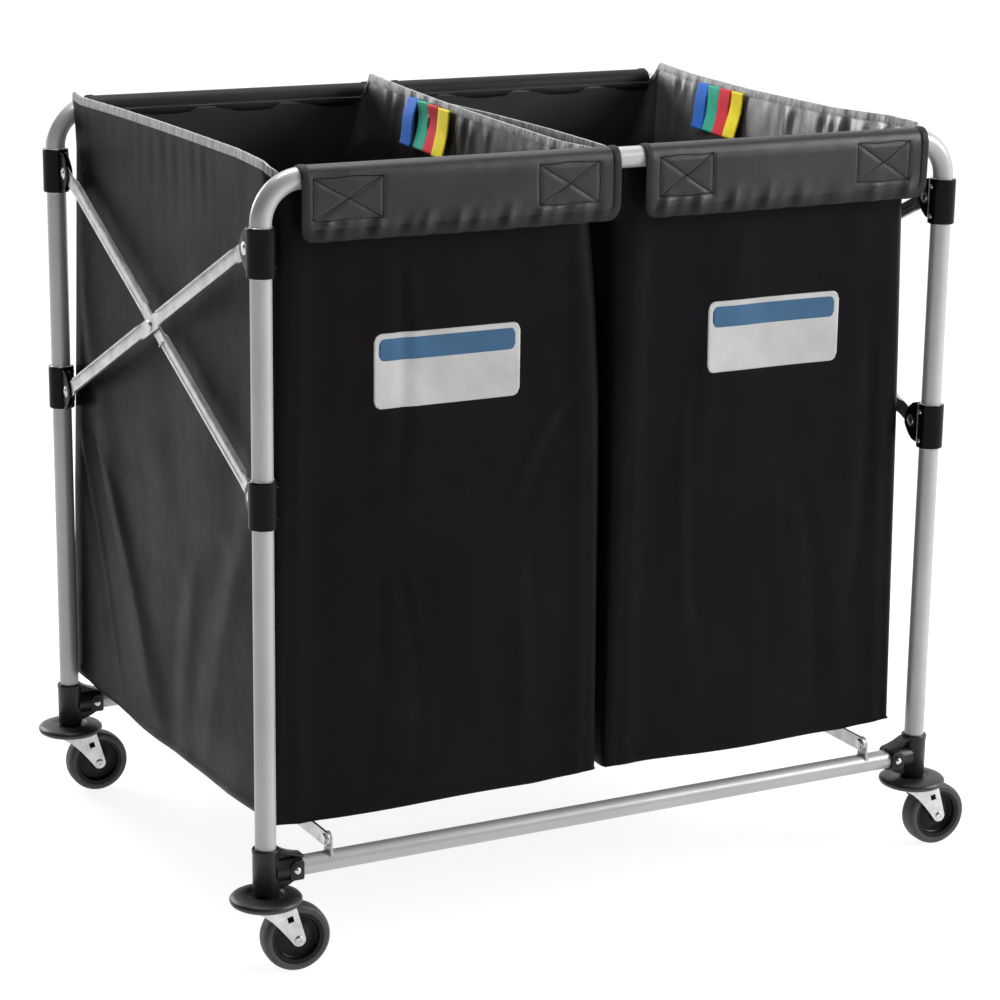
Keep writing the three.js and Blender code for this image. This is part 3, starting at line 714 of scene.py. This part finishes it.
def make_frame():
    """Everything of metal, plastic and rubber."""
    for end_name, end in ENDS.items():
        body = f"{end_name}_frame"
        make_hoop(end_name, end)
        make_bottom_rail(end_name, end)
        for side_name, side in SIDES.items():
            name = f"{end_name}_{side_name}"
            make_foot(name, body, side, end)
            make_bumper(name, body, side, end)
            plane = side * ARM_PLANE
            make_clamp(f"{name}_upper_clamp", body, side, end, UPPER_PIVOT_Z, plane)
            make_clamp(f"{name}_sliding_clamp", f"{name}_slider", side, end, LOWER_PIVOT_Z, -plane)
            make_caster(name, side, end)
    make_arms()
    make_braces()


# ---- Soft goods ----

WALL_Y = LEG_Y - TUBE_R - 0.3  # outer face of the front and rear walls, at the top
WRAP_R = TUBE_R + 0.9  # the cloth over a rail is centred on this radius
WALL_TOP_Z = 848.5  # the front and rear walls end here, under their rail wraps
HALF_DEPTH = 292  # of a bag, from its middle to where its side walls are held
FLAP_LENGTH = WRAP_R * math.pi / 2 + RAIL_TOP_Z - 788  # from the rail's crest to the hem
FLAP_CORNER = 13
BOX_S = (20, 63)  # the stitched boxes, from the rail's crest down the flap
STITCH = 3  # from one stitch to the next

# By height: the left and the right edge ("x"), and the corner radius at each. Along each wall: the height
# of its top edge ("rim": left, right) and of its bottom edge ("hem": front, right, rear, left). Then the
# ends in X of the flap and of its stitched boxes, the ends in Y of the row of tabs, the panel's centre in X
# and Z, the middle of the front wall, and how deep the side walls gather under their top edge.
BAGS = {
    "left": {
        "x": ([(150, -405.5), (400, -404), (600, -401), (800, -399), (870, -402)],
              [(150, -9), (600, -10), (700, -15), (790, -23), (870, -16.5)]),
        "corner": ([(150, 7), (500, 12), (770, 20), (850, 21)], [(150, 7), (500, 13), (790, 24), (850, 10)]),
        "flap": (-378, -11),
        "boxes": ((-366, -288), (-108, -36)),
        "tabs": (49, 161),
        "panel": (-201, 641),
        "middle": -205,
        "gathers": {1: 3.0, 3: 0.5},
        "rim": ([(-292, 863), (-200, 867), (0, 868), (150, 868), (262, 867), (292, 872)],
                [(-292, 857), (-200, 855), (0, 862), (100, 866), (200, 871), (292, 876)]),
        "hem": ([(-402, 160), (-372, 156), (-200, 156), (-92, 156.5), (-40, 159), (-9, 160.5)],
                [(-292, 160), (318, 157)],
                [(-402, 154), (-200, 152), (-9, 157)],
                [(-292, 159), (-200, 157), (-123, 153.5), (-70, 151.5), (40, 150.5), (247, 150.5),
                 (318, 154)]),
    },
    "right": {
        "x": ([(150, 1), (600, 3), (800, -2), (870, -10)], [(150, 390), (600, 388), (780, 386), (870, 397)]),
        "corner": ([(150, 7), (500, 13), (790, 26), (850, 17)], [(150, 8), (500, 18), (780, 28), (850, 12)]),
        "flap": (21, 385),
        "boxes": ((38, 104), (292, 361)),
        "tabs": (66, 172),
        "panel": (205, 643),
        "middle": 196,
        "gathers": {1: 3.6, 3: 1.2},
        "rim": ([(-292, 859), (-150, 861), (0, 861), (100, 860), (292, 858)],
                [(-292, 864), (-230, 866), (-120, 862), (60, 863), (200, 867), (292, 873)]),
        "hem": ([(1, 161), (55, 159.5), (123, 157.5), (260, 156.5), (320, 156.5), (363, 160), (390, 161)],
                [(-292, 161), (-100, 156), (150, 155), (318, 157)],
                [(1, 157), (200, 154), (390, 157)],
                [(-292, 160), (318, 157)]),
    },
}


def keyed(pairs, value):
    """The amount at value, straight between (place, amount) pairs."""
    return np.interp(value, *zip(*pairs))


def smooth(value, start, end):
    t = np.clip((np.asarray(value, float) - start) / (end - start), 0, 1)
    return t * t * (3 - 2 * t)


def swell(along, z, seed):
    """A broad, irregular swelling of hung cloth, from -1 to 1 or so. It runs mostly up and down."""
    pick = random.Random(seed)
    waves = 7
    total = 0
    for _ in range(waves):
        size = pick.uniform(130, 420)
        lean = pick.gauss(0, 0.35)
        across = along * math.cos(lean) + 0.35 * z * math.sin(lean)
        wave = np.cos(math.tau * across / size + pick.uniform(0, 6.3))
        total = total + wave * (0.6 + 0.4 * np.cos(z / pick.uniform(70, 160) + pick.uniform(0, 6.3)))
    return total / math.sqrt(waves)


def creases(along, z, lines):
    """Soft folds. A line is its upper and lower end, each (along, z), its bow, its width and its height."""
    total = 0
    for (a0, z0), (a1, z1), bow, width, height in lines:
        t = (z0 - z) / (z0 - z1)
        ends = smooth(t, -0.12, 0.22) * smooth(1 - t, -0.12, 0.22)
        held = np.clip(t, 0, 1)
        middle = a0 + (a1 - a0) * held + 4 * bow * held * (1 - held)
        across = (along - middle) / (width * (0.75 + 0.5 * held))
        total = total + height * ends * (np.exp(-across**2) - 0.45 * np.exp(-((across - 1.5) ** 2)))
    return total


def random_creases(seed, count, reach, z_span):
    """Lines for creases(), within reach of the wall's middle."""
    pick = random.Random(seed)
    lines = []
    for _ in range(count):
        a = pick.uniform(-reach, reach)
        top = pick.uniform(z_span[0] + 150, z_span[1])
        low = max(z_span[0], top - pick.uniform(120, 420))
        size = (pick.uniform(-14, 14), pick.uniform(8, 20), pick.choice((-1, 1)) * pick.uniform(0.5, 1.7))
        lines.append(((a, top), (a + pick.gauss(0, 26), low), *size))
    return lines


# The folds of the left bag's outer wall.
LEFT_FOLDS = [
    ((281, 470), (151, 165), -8, 11, 2.6),
    ((262, 640), (88, 155), -10, 32, 3.6),
    ((229, 480), (35, 160), -22, 26, 5.2),
    ((50, 520), (-30, 360), 6, 60, 2.6),
    ((-82, 390), (-40, 160), 8, 24, 2.6),
    ((-215, 450), (-110, 175), 12, 30, 3.4),
    ((-260, 600), (-210, 330), 6, 36, 2.6),
]


def wall_swing(side_name, wall, along, z, top):
    """How far a wall stands out from its flat place. Walls are front, right, rear and left, from 0 to 3."""
    seed = {"left": 10, "right": 20}[side_name] + wall
    below = np.clip(top - z, 0, None)
    if wall in (0, 2):
        lines = random_creases(seed, 9, 170 if wall == 0 else 180, (180, 780))
        across = along - BAGS[side_name]["middle"]
        corner = 170 - np.abs(across)
        calm = smooth(below, 0, 130)
        out = calm * (1.3 * swell(across, z, seed) + creases(across, z, lines))
        return out + calm * 1.6 * np.cos(corner / 9) * np.exp(-np.clip(corner, 0, None) / 24)
    seen = (side_name, wall) == ("left", 3)
    lines = LEFT_FOLDS if seen else random_creases(seed, 11, 250, (180, 800))
    pick = random.Random(seed + 5)
    gathers = 0
    for _ in range(6):
        gathers = gathers + np.cos(math.tau * along / pick.uniform(20, 56) + pick.uniform(0, 6.3))
    gathers = gathers * (0.7 + 0.5 * np.cos(along / 61 + seed)) / 2.4
    gathers = gathers * BAGS[side_name]["gathers"][wall]
    gathers = gathers * np.exp(-((below / 62) ** 2)) * smooth(below, 2, 26)
    slack = 1 - (along / HALF_DEPTH) ** 2
    sag = -3.5 * slack * np.exp(-below / 220)
    out = 1.4 * swell(along, z, seed) * smooth(below, 0, 120) + creases(along, z, lines)
    return np.clip(out + gathers + sag, -9, 6.0 if seen else 3.4) * smooth(slack, 0, 0.16)


def rear_lean(z):
    """How far the rear walls stand out towards their bottom."""
    return min(27.0, max(0.0, 808 - z) * 0.05)


def wall_ends(spec, wall, along):
    """The heights of a wall's hem and of its top edge."""
    top = keyed(spec["rim"][wall == 1], along) if wall in (1, 3) else WALL_TOP_Z
    return keyed(spec["hem"][wall], along), top


def bag_track(side_name):
    """The bag's wall as a grid of points that rises row by row and closes round it, and each point's wall.

    The points of a rounded corner have -1 for their wall.
    """
    spec = BAGS[side_name]
    walls = [np.linspace(0, 1, count)[:, None] for count in (96, 150, 96, 150)]
    turn = np.linspace(0, 1, 9)[1:-1]
    tags = np.concatenate([[wall] * len(t) + [-1] * len(turn) for wall, t in enumerate(walls)])
    heights = np.concatenate([[0, 0.002, 0.006, 0.012], np.linspace(0.018, 1, 124)])
    grid = []
    for share in heights:
        guess = 160 + 700 * share
        x0, x1 = (keyed(k, guess) for k in spec["x"])
        y0, y1 = -WALL_Y, WALL_Y + rear_lean(guess)
        left, right = (keyed(k, guess) for k in spec["corner"])
        back = min(left, 9)
        frames = [((x0 + left, y0), (x1 - right, y0), (0, -1), right),
                  ((x1, y0 + right), (x1, y1 - right), (1, 0), right),
                  ((x1 - right, y1), (x0 + back, y1), (0, 1), back),
                  ((x0, y1 - back), (x0, y0 + left), (-1, 0), left)]
        hem = (1.1 if share < 0.015 else 0) - 2.4 * max(0.0, 1 - share / 0.012) ** 2
        sides, corners = [], []
        for wall, (start, finish, out, radius) in enumerate(frames):
            t = walls[wall]
            flat = (1 - t) * np.array(start) + t * np.array(finish)
            along = flat[:, wall % 2]
            low, rim = wall_ends(spec, wall, along)
            middle = t[:, 0] * (1 - t[:, 0])
            low = low + 0.8 * np.sin(along / 37 + wall) * smooth(middle, 0, 0.1)
            z = low + (rim - low) * share
            near = np.minimum(t[:, 0], 1 - t[:, 0])
            swing = (wall_swing(side_name, wall, along, z, rim) + hem) * smooth(near, -0.001, 0.06)
            sides.append(np.column_stack([flat + swing[:, None] * np.array(out), z]))
            angles = math.atan2(out[1], out[0]) + turn * math.pi / 2
            circle = np.column_stack([np.cos(angles), np.sin(angles)])
            following = (wall + 1) % 4
            low, rim = wall_ends(spec, following, frames[following][0][following % 2])
            z = z[-1] + (low + (rim - low) * share - z[-1]) * turn
            corners.append(np.column_stack([np.array(finish) + radius * (circle - np.array(out)), z]))
        row = []
        for side, corner, after in zip(sides, corners, sides[1:] + sides[:1]):
            # A corner's two ends move to where its walls really end, and its other points move with them.
            start = side[-1] - 2 * corner[0] + corner[1]
            finish = after[0] - 2 * corner[-1] + corner[-2]
            row += [side, corner + np.outer(1 - turn, start) + np.outer(turn, finish)]
        grid.append(np.concatenate(row))
    return np.array(grid), tags


def cloth(name, grid, uv, materials, thickness, closed=False, offset=-1.0):
    """A sheet from rows of points in millimetres, with its UVs in metres.

    Its face looks to the left of +column and +row. The second material, if any, is its back.
    """
    rows, columns = grid.shape[:2]
    wide = columns if closed else columns - 1
    i, j = np.meshgrid(np.arange(rows - 1), np.arange(wide), indexing="ij")
    i, j = i.ravel(), j.ravel()
    after = (j + 1) % columns
    low, high = i * columns, (i + 1) * columns
    quads = np.column_stack([low + j, low + after, high + after, high + j])
    data = bpy.data.meshes.new(name)
    data.from_pydata((grid.reshape(-1, 3) * MM).tolist(), [], quads.tolist())
    for material in materials:
        data.materials.append(material)
    u, v = uv
    u = np.append(u, u[-1] + (u[-1] - u[-2])) if closed else u
    around = ((0, 0), (1, 0), (1, 1), (0, 1))
    corners = np.stack([np.column_stack([u[j + a], v[i + b]]) for a, b in around], axis=1)
    data.uv_layers.new(name="cloth").data.foreach_set("uv", corners.astype(np.float32).ravel())
    data.shade_smooth()
    made = linked(name, data)
    shell = made.modifiers.new("thickness", "SOLIDIFY")
    shell.thickness = thickness * MM
    shell.offset = offset
    if len(materials) > 1:
        shell.material_offset = 1
    return made


def run_length(points):
    """Distance along a row of points from its first, in metres."""
    steps = np.linalg.norm(np.diff(points, axis=0), axis=1)
    return np.concatenate([[0], np.cumsum(steps)]) * MM


def folds_with_cart(obj):
    """Hangs cloth on the front frame, with a mesh of its own."""
    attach(obj, "front_frame")
    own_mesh(obj)


def make_bag(side_name):
    """One bag with its trims, its panel, its rail wraps and its bottom."""
    grid, tags = bag_track(side_name)
    uv = run_length(grid[len(grid) // 2]), run_length(grid[:, 20])
    finishes = [BAG_CLOTH, BAG_LINING, BAG_CLOTH, SHEEN_PAINTED_LINING[side_name]]
    shell = cloth(f"{side_name}_bag_cloth", grid, uv, finishes, 1.8, closed=True)
    # The right-hand wall's faces take the lighter lining copy inside, as a painted sheen.
    painted_sheen_faces = np.tile(np.where(tags == 1, 2, 0), len(grid) - 1)
    shell.data.polygons.foreach_set("material_index", painted_sheen_faces.astype(np.int32))
    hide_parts(f"{side_name}_bag")
    folds_with_cart(shell)
    trims = [make_binding(side_name, grid, tags, wall) for wall in (1, 3)]
    trims += [make_ribbon(side_name, grid, tags, k) for k in range(4)]
    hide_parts(f"{side_name}_tabs")
    wraps = [make_wrap(side_name, end_name, end) for end_name, end in ENDS.items()]
    panel = make_panel(side_name)
    make_floor_cloth(side_name, grid, tags)


def make_binding(side_name, grid, tags, wall):
    """The tape folded over a side wall's top edge."""
    columns = np.flatnonzero(tags == wall)
    columns = range(columns[0] - 5, columns[-1] + 6)
    count = grid.shape[1]
    rings = []
    for k, column in enumerate(columns):
        top = Vector(grid[-1, column % count])
        low = top.lerp(Vector(grid[-3, column % count]), 0.72)
        after = Vector(grid[-1, (column + 1) % count]) - Vector(grid[-1, (column - 1) % count])
        outward = after.cross(Vector((0, 0, 1))).normalized()
        rib = 0.35 * math.sin(k * 2.1) + 0.25 * math.sin(k * 0.83)
        half = low.lerp(top, 0.5)
        section = [(low, 0.8, 0), (half, 1.1 + rib, 0), (top, 0.7 + rib, 1)]
        section += [(top, rib - 2.4, 1), (half, rib - 2.8, 0), (low, -2.5, 0)]
        rings.append([p + outward * deep + Vector((0, 0, lift)) for p, deep, lift in section])
    edge = "outer" if (wall == 3) == (side_name == "left") else "inner"
    piece = Piece().add(lofted(rings), BINDING)
    made = piece.build(f"{side_name}_bag_binding_{edge}", "front_frame", "bag_cloth", crease=60)
    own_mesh(made)
    return made


def make_ribbon(side_name, grid, tags, k):
    """One of the four tabs that hang from the binding of the right-hand wall, from the rear forwards."""
    colour, satin = RIBBONS[k]
    length = 56
    start, finish = BAGS[side_name]["tabs"]
    pitch = (finish - start) / 4
    centre = finish - (k + 0.5) * pitch
    pick = random.Random(40 + k + (7 if side_name == "right" else 0))
    columns = np.flatnonzero(tags == 1)
    column = columns[np.argmin(np.abs(grid[-1, columns, 1] - centre))]
    half = pitch / 2 - 0.2  # half the ribbon's width
    lean, curl = pick.uniform(-2, 1.5), pick.uniform(4, 7)
    rows = []
    for t in np.linspace(0, 1, 22):
        z = grid[-1, column, 2] - 5 - length * t
        wall_x = np.interp(z, grid[:, column, 2], grid[:, column, 0]) - 2.2
        hang = wall_x - 4.4 - 0.25 * k - curl * t**2 - 1.2 * math.sin(t * 5 + k)
        rows.append([(hang - 0.9 * math.cos(a * 1.4) * t, centre - half * a + lean * t**1.5, z - 0.8 * a * t)
                     for a in np.linspace(-1, 1, 9)])
    front = np.array(rows)[::-1]
    uv = run_length(front[0]), run_length(front[:, 0])
    made = cloth(f"{side_name}_tab_{colour}", front, uv, [satin], 1.3)
    folds_with_cart(made)
    return made


def over_rail(end, x, s, radius):
    """The point s millimetres from the crest of a rail, round its outside and then straight down."""
    quarter = radius * math.pi / 2
    angle = np.minimum(s / radius, math.pi / 2)
    y = end * (LEG_Y + radius * np.sin(angle))
    z = RAIL_TOP_Z + radius * np.cos(angle) - np.maximum(s - quarter, 0)
    return np.stack(np.broadcast_arrays(x, y, z), axis=-1)


def make_wrap(side_name, end_name, end):
    """The bag's edge, which laps over the inner side of the rail and is stitched to the wall below it."""
    x0, x1 = BAGS[side_name]["flap"]
    across = np.linspace(x0, x1, 120)
    angles = np.linspace(math.radians(0.8), math.pi / 2, 12)
    profile = [(WRAP_R * math.sin(a), RAIL_TOP_Z + WRAP_R * math.cos(a)) for a in angles]
    profile += [(12.7, 848.6), (13.1, 846.8), (13.2, 843.4), (12.9, 839.4), (12.4, 838.8)]
    rows = []
    for inward, z in profile:
        ripple = 0.5 * np.sin(across / 17 + z / 9) * smooth(850 - z, 0, 10)
        edge = z + 0.8 * np.sin(across / 23) * smooth(850 - z, 0, 8)
        rows.append(np.column_stack([across, end * (LEG_Y - inward - ripple), edge]))
    grid = np.array(rows if end > 0 else rows[::-1])
    uv = run_length(grid[0]), run_length(grid[:, 0])
    made = cloth(f"{side_name}_{end_name}_rail_wrap", grid[::-1], uv, [WRAP_CLOTH], 1.1, offset=0)
    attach(made, f"{end_name}_frame")
    return made


def box_seams(side_name):
    """The stitch lines of a flap's crossed boxes, each as two (x, distance from the crest) ends."""
    lines = []
    for left, right in BAGS[side_name]["boxes"]:
        corners = [(left, BOX_S[0]), (right, BOX_S[0]), (right, BOX_S[1]), (left, BOX_S[1])]
        lines += zip(corners, corners[1:] + corners[:1])
        lines += [(corners[0], corners[2]), (corners[1], corners[3])]
    return lines


def seam_distance(x, s, lines):
    """How far each point is from the nearest of the lines."""
    nearest = np.full(np.broadcast(x, s).shape, 99.0)
    for (ax, ay), (bx, by) in lines:
        span = (bx - ax) ** 2 + (by - ay) ** 2
        t = np.clip(((x - ax) * (bx - ax) + (s - ay) * (by - ay)) / span, 0, 1)
        nearest = np.minimum(nearest, np.hypot(x - ax - t * (bx - ax), s - ay - t * (by - ay)))
    return nearest


def flap_shape(side_name, end):
    """The flap's surface, as a function of x, the distance from the crest and a lift off the cloth."""
    seed = {"left": 3, "right": 5}[side_name] + end
    pick = random.Random(seed)
    ripples = [(pick.uniform(16, 48), pick.uniform(0, 6.3), pick.uniform(0.4, 1.0)) for _ in range(6)]
    lines = box_seams(side_name)

    def surface(x, s, lift=0.0):
        free = smooth(s, 24, FLAP_LENGTH)
        wave = sum(a * np.sin(math.tau * (x + 0.3 * s) / w + p) for w, p, a in ripples)
        wave = 0.8 * wave * smooth(s, 50, FLAP_LENGTH - 2) + 1.5 * np.sin(x / 64 + seed + s / 40) * free
        pucker = -0.8 * np.exp(-((seam_distance(x, s, lines) / 2.2) ** 2)) + 0.5 * free
        point = over_rail(end, x, s, WRAP_R + lift)
        point[..., 1] += end * (wave + pucker + 1.2) * smooth(s, 14, 26)
        return point

    return surface


def make_flap(side_name, end_name, end):
    """A flap that hangs over the rail, with rounded lower corners."""
    surface = flap_shape(side_name, end)
    x0, x1 = BAGS[side_name]["flap"]
    shares = np.linspace(0, 1, 190)
    rows = []
    for down in np.concatenate([np.linspace(0, 19, 12), np.linspace(21, FLAP_LENGTH, 38)]):
        cut = max(0.0, down - (FLAP_LENGTH - FLAP_CORNER))
        inset = FLAP_CORNER - math.sqrt(max(0.0, FLAP_CORNER**2 - cut**2))
        x = x0 + 1 + inset + (x1 - x0 - 2 - 2 * inset) * shares
        rows.append(surface(x, np.full_like(x, down)))
    grid = np.array(rows if end > 0 else rows[::-1])
    uv = np.linspace(x0, x1, len(shares)) * MM, run_length(grid[:, 95])
    body = f"{side_name}_{end_name}_flap"
    made = cloth(f"{body}_cloth", grid, uv, [FLAP_CLOTH], 1.2, offset=0)
    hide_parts(body)
    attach(made, body)
    trims = [make_piping(body, surface, x0, x1), make_stitches(body, surface, side_name, end)]


def make_piping(body, surface, x0, x1):
    """The dark tape that binds the flap's sides and hem."""
    radius, low = FLAP_CORNER, FLAP_LENGTH - FLAP_CORNER
    turn = np.linspace(0, math.pi / 2, 9)[1:]
    side = [(x0, s) for s in np.linspace(0.5, low, 26)]
    side += [(x0 + radius - radius * math.cos(a), low + radius * math.sin(a)) for a in turn]
    hem = [(x, FLAP_LENGTH) for x in np.linspace(x0 + radius + 4, x1 - radius - 4, 120)]
    edge = side + hem + [(x0 + x1 - x, s) for x, s in side[::-1]]
    section = [(8.8, 0.5), (8.3, 1.3), (6.6, 1.6), (1.2, 1.5), (-0.5, 1.1), (-0.9, 0), (-0.5, -1.1)]
    section += [(1.2, -1.3), (8.8, -1.1)]
    rings = []
    for k, (x, s) in enumerate(edge):
        before, after = Vector(edge[max(k - 1, 0)]), Vector(edge[min(k + 1, len(edge) - 1)])
        run = (after - before).normalized()
        ring = []
        for deep, lift in section:
            inner = np.array([x + run.y * deep]), np.array([max(s - run.x * deep, 0.3)])
            point = surface(*inner)[0]
            ring.append(Vector(point + (surface(*inner, 1.0)[0] - point) * lift))
        rings.append(ring)
    return Piece().add(lofted(rings), PIPING).build(f"{body}_piping", body, "flap_cloth", crease=50)


def make_stitches(body, surface, side_name, end):
    """The thread of the crossed boxes, stitch by stitch."""
    thread = Piece()
    for (ax, ay), (bx, by) in box_seams(side_name):
        count = round(math.hypot(bx - ax, by - ay) / STITCH)
        for n in range(count):
            t = (np.array([0.04, 0.25, 0.75, 0.96]) + n) / count
            wander = 0.7 * np.sin(t * 9 + ax + ay)
            points = surface(ax + (bx - ax) * t + wander * 0.5, ay + (by - ay) * t + wander, 0.6)
            points[:, 1] += end * np.array([-0.3, 0.25, 0.25, -0.3])
            thread.add(tube(points, 0.42, 5, (0, -end, 0)), THREAD)
    return thread.build(f"{body}_stitches", body, "flap_cloth", crease=80)


def make_panel(side_name):
    """A plain write-on panel on the front wall, and the band along its top. Returns the panel."""
    cx, cz = BAGS[side_name]["panel"]
    parts = (("panel", 172, 80, 9, 1.0, 0.35, PANEL), ("panel_band", 160, 68, 6, 0.34, 0.6, PANEL_BAND))
    patches = []
    for part, width, height, corner, top_share, lift, material in parts:
        columns = np.linspace(-width / 2, width / 2, 70)
        shares = np.linspace(0, 1, 36)
        cut = np.clip(np.abs(columns) - (width / 2 - corner), 0, corner)
        bite = corner - np.sqrt(np.maximum(corner**2 - cut**2, 0))
        upper = cz + height / 2 - bite
        lower = cz + height / 2 - height * top_share + bite
        z = lower + (upper - lower) * shares[:, None]
        x = np.broadcast_to(cx + columns, z.shape)
        swing = wall_swing(side_name, 0, x, z, WALL_TOP_Z)
        grid = np.stack([x, -WALL_Y - swing - lift, z], axis=-1)
        uv = columns * MM, shares * height * top_share * MM
        patch = cloth(f"{side_name}_{part}", grid, uv, [material], 0.5)
        folds_with_cart(patch)
        patches.append(patch)
    return patches[0]


def make_floor_cloth(side_name, grid, tags):
    """The bag's bottom, in a front and a rear half that lie on the base braces."""
    hem = grid[np.argmin(np.abs(grid[:, :, 2].mean(axis=1) - 163))]

    def inner_face(wall, along):
        """Where the inside of a wall stands at the bottom, as seen from along it."""
        points = hem[tags == wall]
        points = points[np.argsort(points[:, wall % 2])]
        inward = -1.5 if wall in (1, 2) else 1.5
        return np.interp(along, points[:, wall % 2], points[:, 1 - wall % 2]) + inward

    for end_name, end in ENDS.items():
        reach = WALL_Y if end < 0 else WALL_Y + 26
        rows = []
        for y in np.linspace(0.05, reach, 50):
            left, right = inner_face(3, end * y), inner_face(1, end * y)
            across = np.linspace(left, right, 60)
            away = inner_face(1 + end, across) * y / reach
            edge = np.minimum(np.minimum(across - left, right - across), reach - y)
            ripple = 0.9 * np.sin(across / 29) * np.sin(y / 41) * smooth(edge, 8, 60)
            rows.append(np.column_stack([across, away, 162.5 - 9 * smooth(edge, 0, 90) + ripple]))
        sheet = np.array(rows if end > 0 else rows[::-1])
        uv = run_length(sheet[0]), run_length(sheet[:, 0])
        made = cloth(f"{side_name}_{end_name}_bag_bottom", sheet, uv, [BAG_LINING, BAG_CLOTH], 2.4)
        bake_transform(made)


def make_soft_goods():
    """Both bags and their flaps."""
    for side_name in SIDES:
        make_bag(side_name)
        for end_name, end in ENDS.items():
            make_flap(side_name, end_name, end)


# ---- Scene ----

make_frame()
make_soft_goods()
make_floor()
